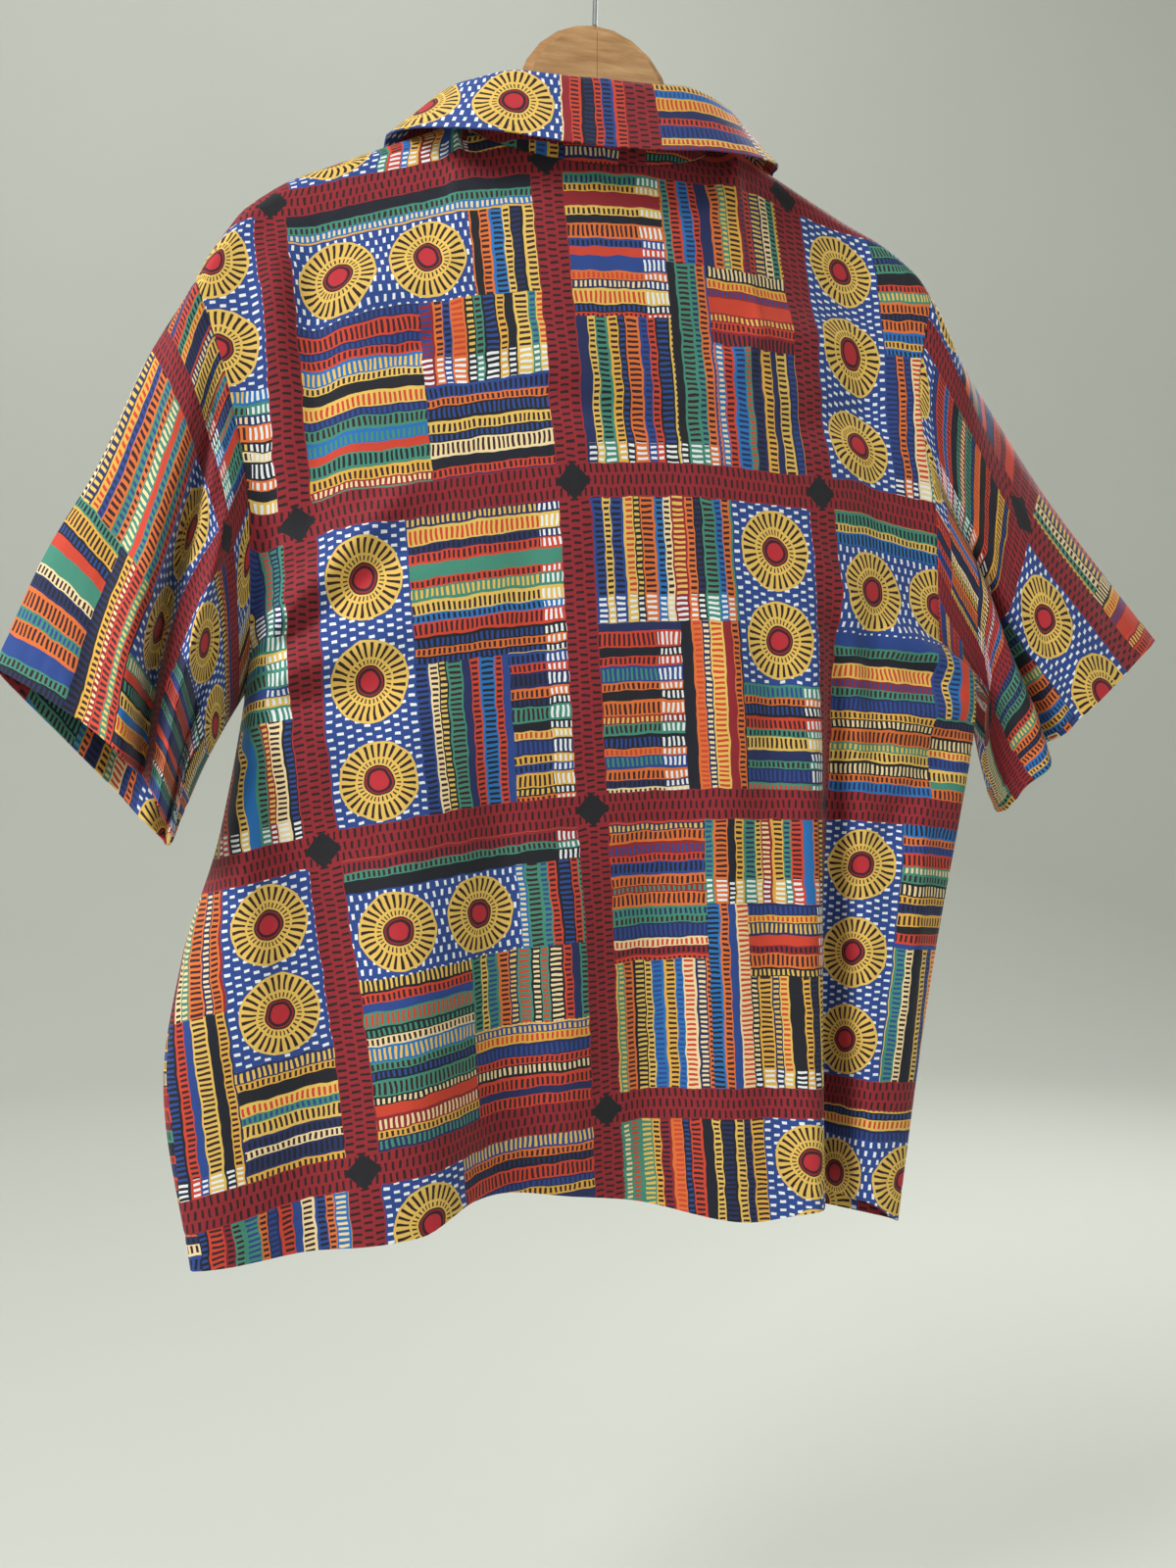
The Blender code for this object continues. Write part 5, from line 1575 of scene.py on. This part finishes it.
wire, desk, shader = new_material("steel wire", metallic=1.0, base_color=STEEL)
polish = desk.cloud(desk.vector("MULTIPLY", desk.object_place(), WIRE_STRETCH), *WIRE_NOISE)
desk.feed(shader.inputs["Roughness"], desk.math("MULTIPLY_ADD", polish, POLISH_SWING, POLISH))
HANGER = ["hanger_half_left", "hanger_half_right"]
for name in HANGER:
    dress(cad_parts[name], wood)
dress(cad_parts["hanger_hook"], wire)
print("materials:", len(bpy.data.materials))

# %% [markdown]
# ## Stage, light and camera
#
# A pale bowl is floor and backdrop in one, so that every side of the shirt is seen against the same
# plain ground. Two strong lamps stand high to the left of the shirt's back and to the left of its front,
# so that the folds on both faces are shaded alike. Weak lamps fill the shade, and two more light the
# backdrop.

# %% The bowl
BOWL_RADIUS, BOWL_HEIGHT, FLOOR_Z, CORNER = 4.0, 5.0, -1.35, 1.2
CORNER_STEPS, SPOKES = 12, 64
PLASTER_NOISE = (1.3, 4.0)
PLASTER_DARK, PLASTER_PALE = colour(193, 195, 187), colour(198, 200, 192)
wall, desk, shader = new_material("pale plaster", roughness=0.95)
plaster = desk.cloud(desk.object_place(), *PLASTER_NOISE)
desk.feed(shader.inputs["Base Color"], desk.blend(plaster, PLASTER_DARK, PLASTER_PALE))
profile = []
for step in range(CORNER_STEPS + 1):
    angle = math.radians(90 * step / CORNER_STEPS)
    profile.append((BOWL_RADIUS - CORNER * (1 - math.sin(angle)), FLOOR_Z + CORNER * (1 - math.cos(angle))))
profile.append((BOWL_RADIUS, FLOOR_Z + BOWL_HEIGHT))
points = [(r * math.cos(2 * math.pi * t / SPOKES), r * math.sin(2 * math.pi * t / SPOKES), z)
          for r, z in profile for t in range(SPOKES)]
faces = [tuple(range(SPOKES))]
for level in range(len(profile) - 1):
    for t in range(SPOKES):
        k = (t + 1) % SPOKES
        low, high = level * SPOKES, (level + 1) * SPOKES
        faces.append((low + k, low + t, high + t, high + k))
bowl_mesh = bpy.data.meshes.new("backdrop")
bowl_mesh.from_pydata(points, [], faces)
bowl_mesh.shade_smooth()
bowl_mesh.materials.append(wall)
bowl = add_object("backdrop", bowl_mesh)
print("backdrop faces:", len(faces))

# %% Lamps
Lamp = namedtuple("Lamp", "name place aim size power")
MIDDLE = (0, 0, -0.55)
LAMPS = (
    Lamp("key", (-1.9, -1.0, 0.9), MIDDLE, 0.9, 62),
    Lamp("fill", (1.8, -2.2, 0.2), MIDDLE, 2.0, 6),
    Lamp("other_key", (1.9, 1.0, 0.9), MIDDLE, 0.9, 57),
    Lamp("other_fill", (-1.8, 2.2, 0.2), MIDDLE, 2.0, 6),
    Lamp("wall_wash", (0.0, 1.8, 2.5), (0.0, 4.0, 0.9), 2.0, 38),
    Lamp("other_wash", (0.0, -1.8, 2.5), (0.0, -4.0, 0.9), 2.0, 38),
)
ROOM_LIGHT, ROOM_COLOUR = 0.30, colour(226, 230, 228)
for lamp in LAMPS:
    light = bpy.data.lights.new(lamp.name, "AREA")
    light.shape = "SQUARE"
    light.size = lamp.size
    light.energy = lamp.power
    holder = add_object(lamp.name, light)
    holder.location = lamp.place
    holder.rotation_euler = (Vector(lamp.aim) - Vector(lamp.place)).to_track_quat("-Z", "Y").to_euler()
world = bpy.data.worlds.new("soft room")
world.use_nodes = True
room = world.node_tree.nodes["Background"].inputs
room["Color"].default_value = ROOM_COLOUR
room["Strength"].default_value = ROOM_LIGHT
bpy.context.scene.world = world
bpy.context.scene.view_settings.view_transform = "Standard"
print("lamps:", len(LAMPS))

# %% The camera, level and turned fifteen degrees
TARGET = Vector((-0.005, 0, -0.623))
DISTANCE = 1.07
AZIMUTH = math.radians(-15)
SENSOR, LENS = 36, 33.75
back_way = Vector((math.sin(AZIMUTH), -math.cos(AZIMUTH), 0))
camera = bpy.data.cameras.new("camera")
camera.sensor_fit = "VERTICAL"
camera.sensor_height = SENSOR
camera.lens = LENS
holder = add_object("camera", camera)
holder.location = TARGET + back_way * DISTANCE
holder.rotation_euler = (-back_way).to_track_quat("-Z", "Y").to_euler()
bpy.context.scene.camera = holder
print("camera at", [round(value, 3) for value in holder.location])

# %% [markdown]
# ## Put every piece on the one body
#
# The shirt has no joint, so every piece rides on the one body, "root". Each shell and button replaces
# the stiff solid of the same name, which is hidden.

threads = {}
for name, rows in stitch_rows.items():
    if rows:
        threads[name] = thread_mesh(name + "_stitches", np.concatenate(rows))
        dress(threads[name], thread)
        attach(threads[name], "root")
print("stitches:", sum(len(spindles) for rows in stitch_rows.values() for spindles in rows))
for name, shell in shells.items():
    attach(shell, "root")
    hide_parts(name)

for name, button in buttons.items():
    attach(button, "root")
    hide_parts(name)
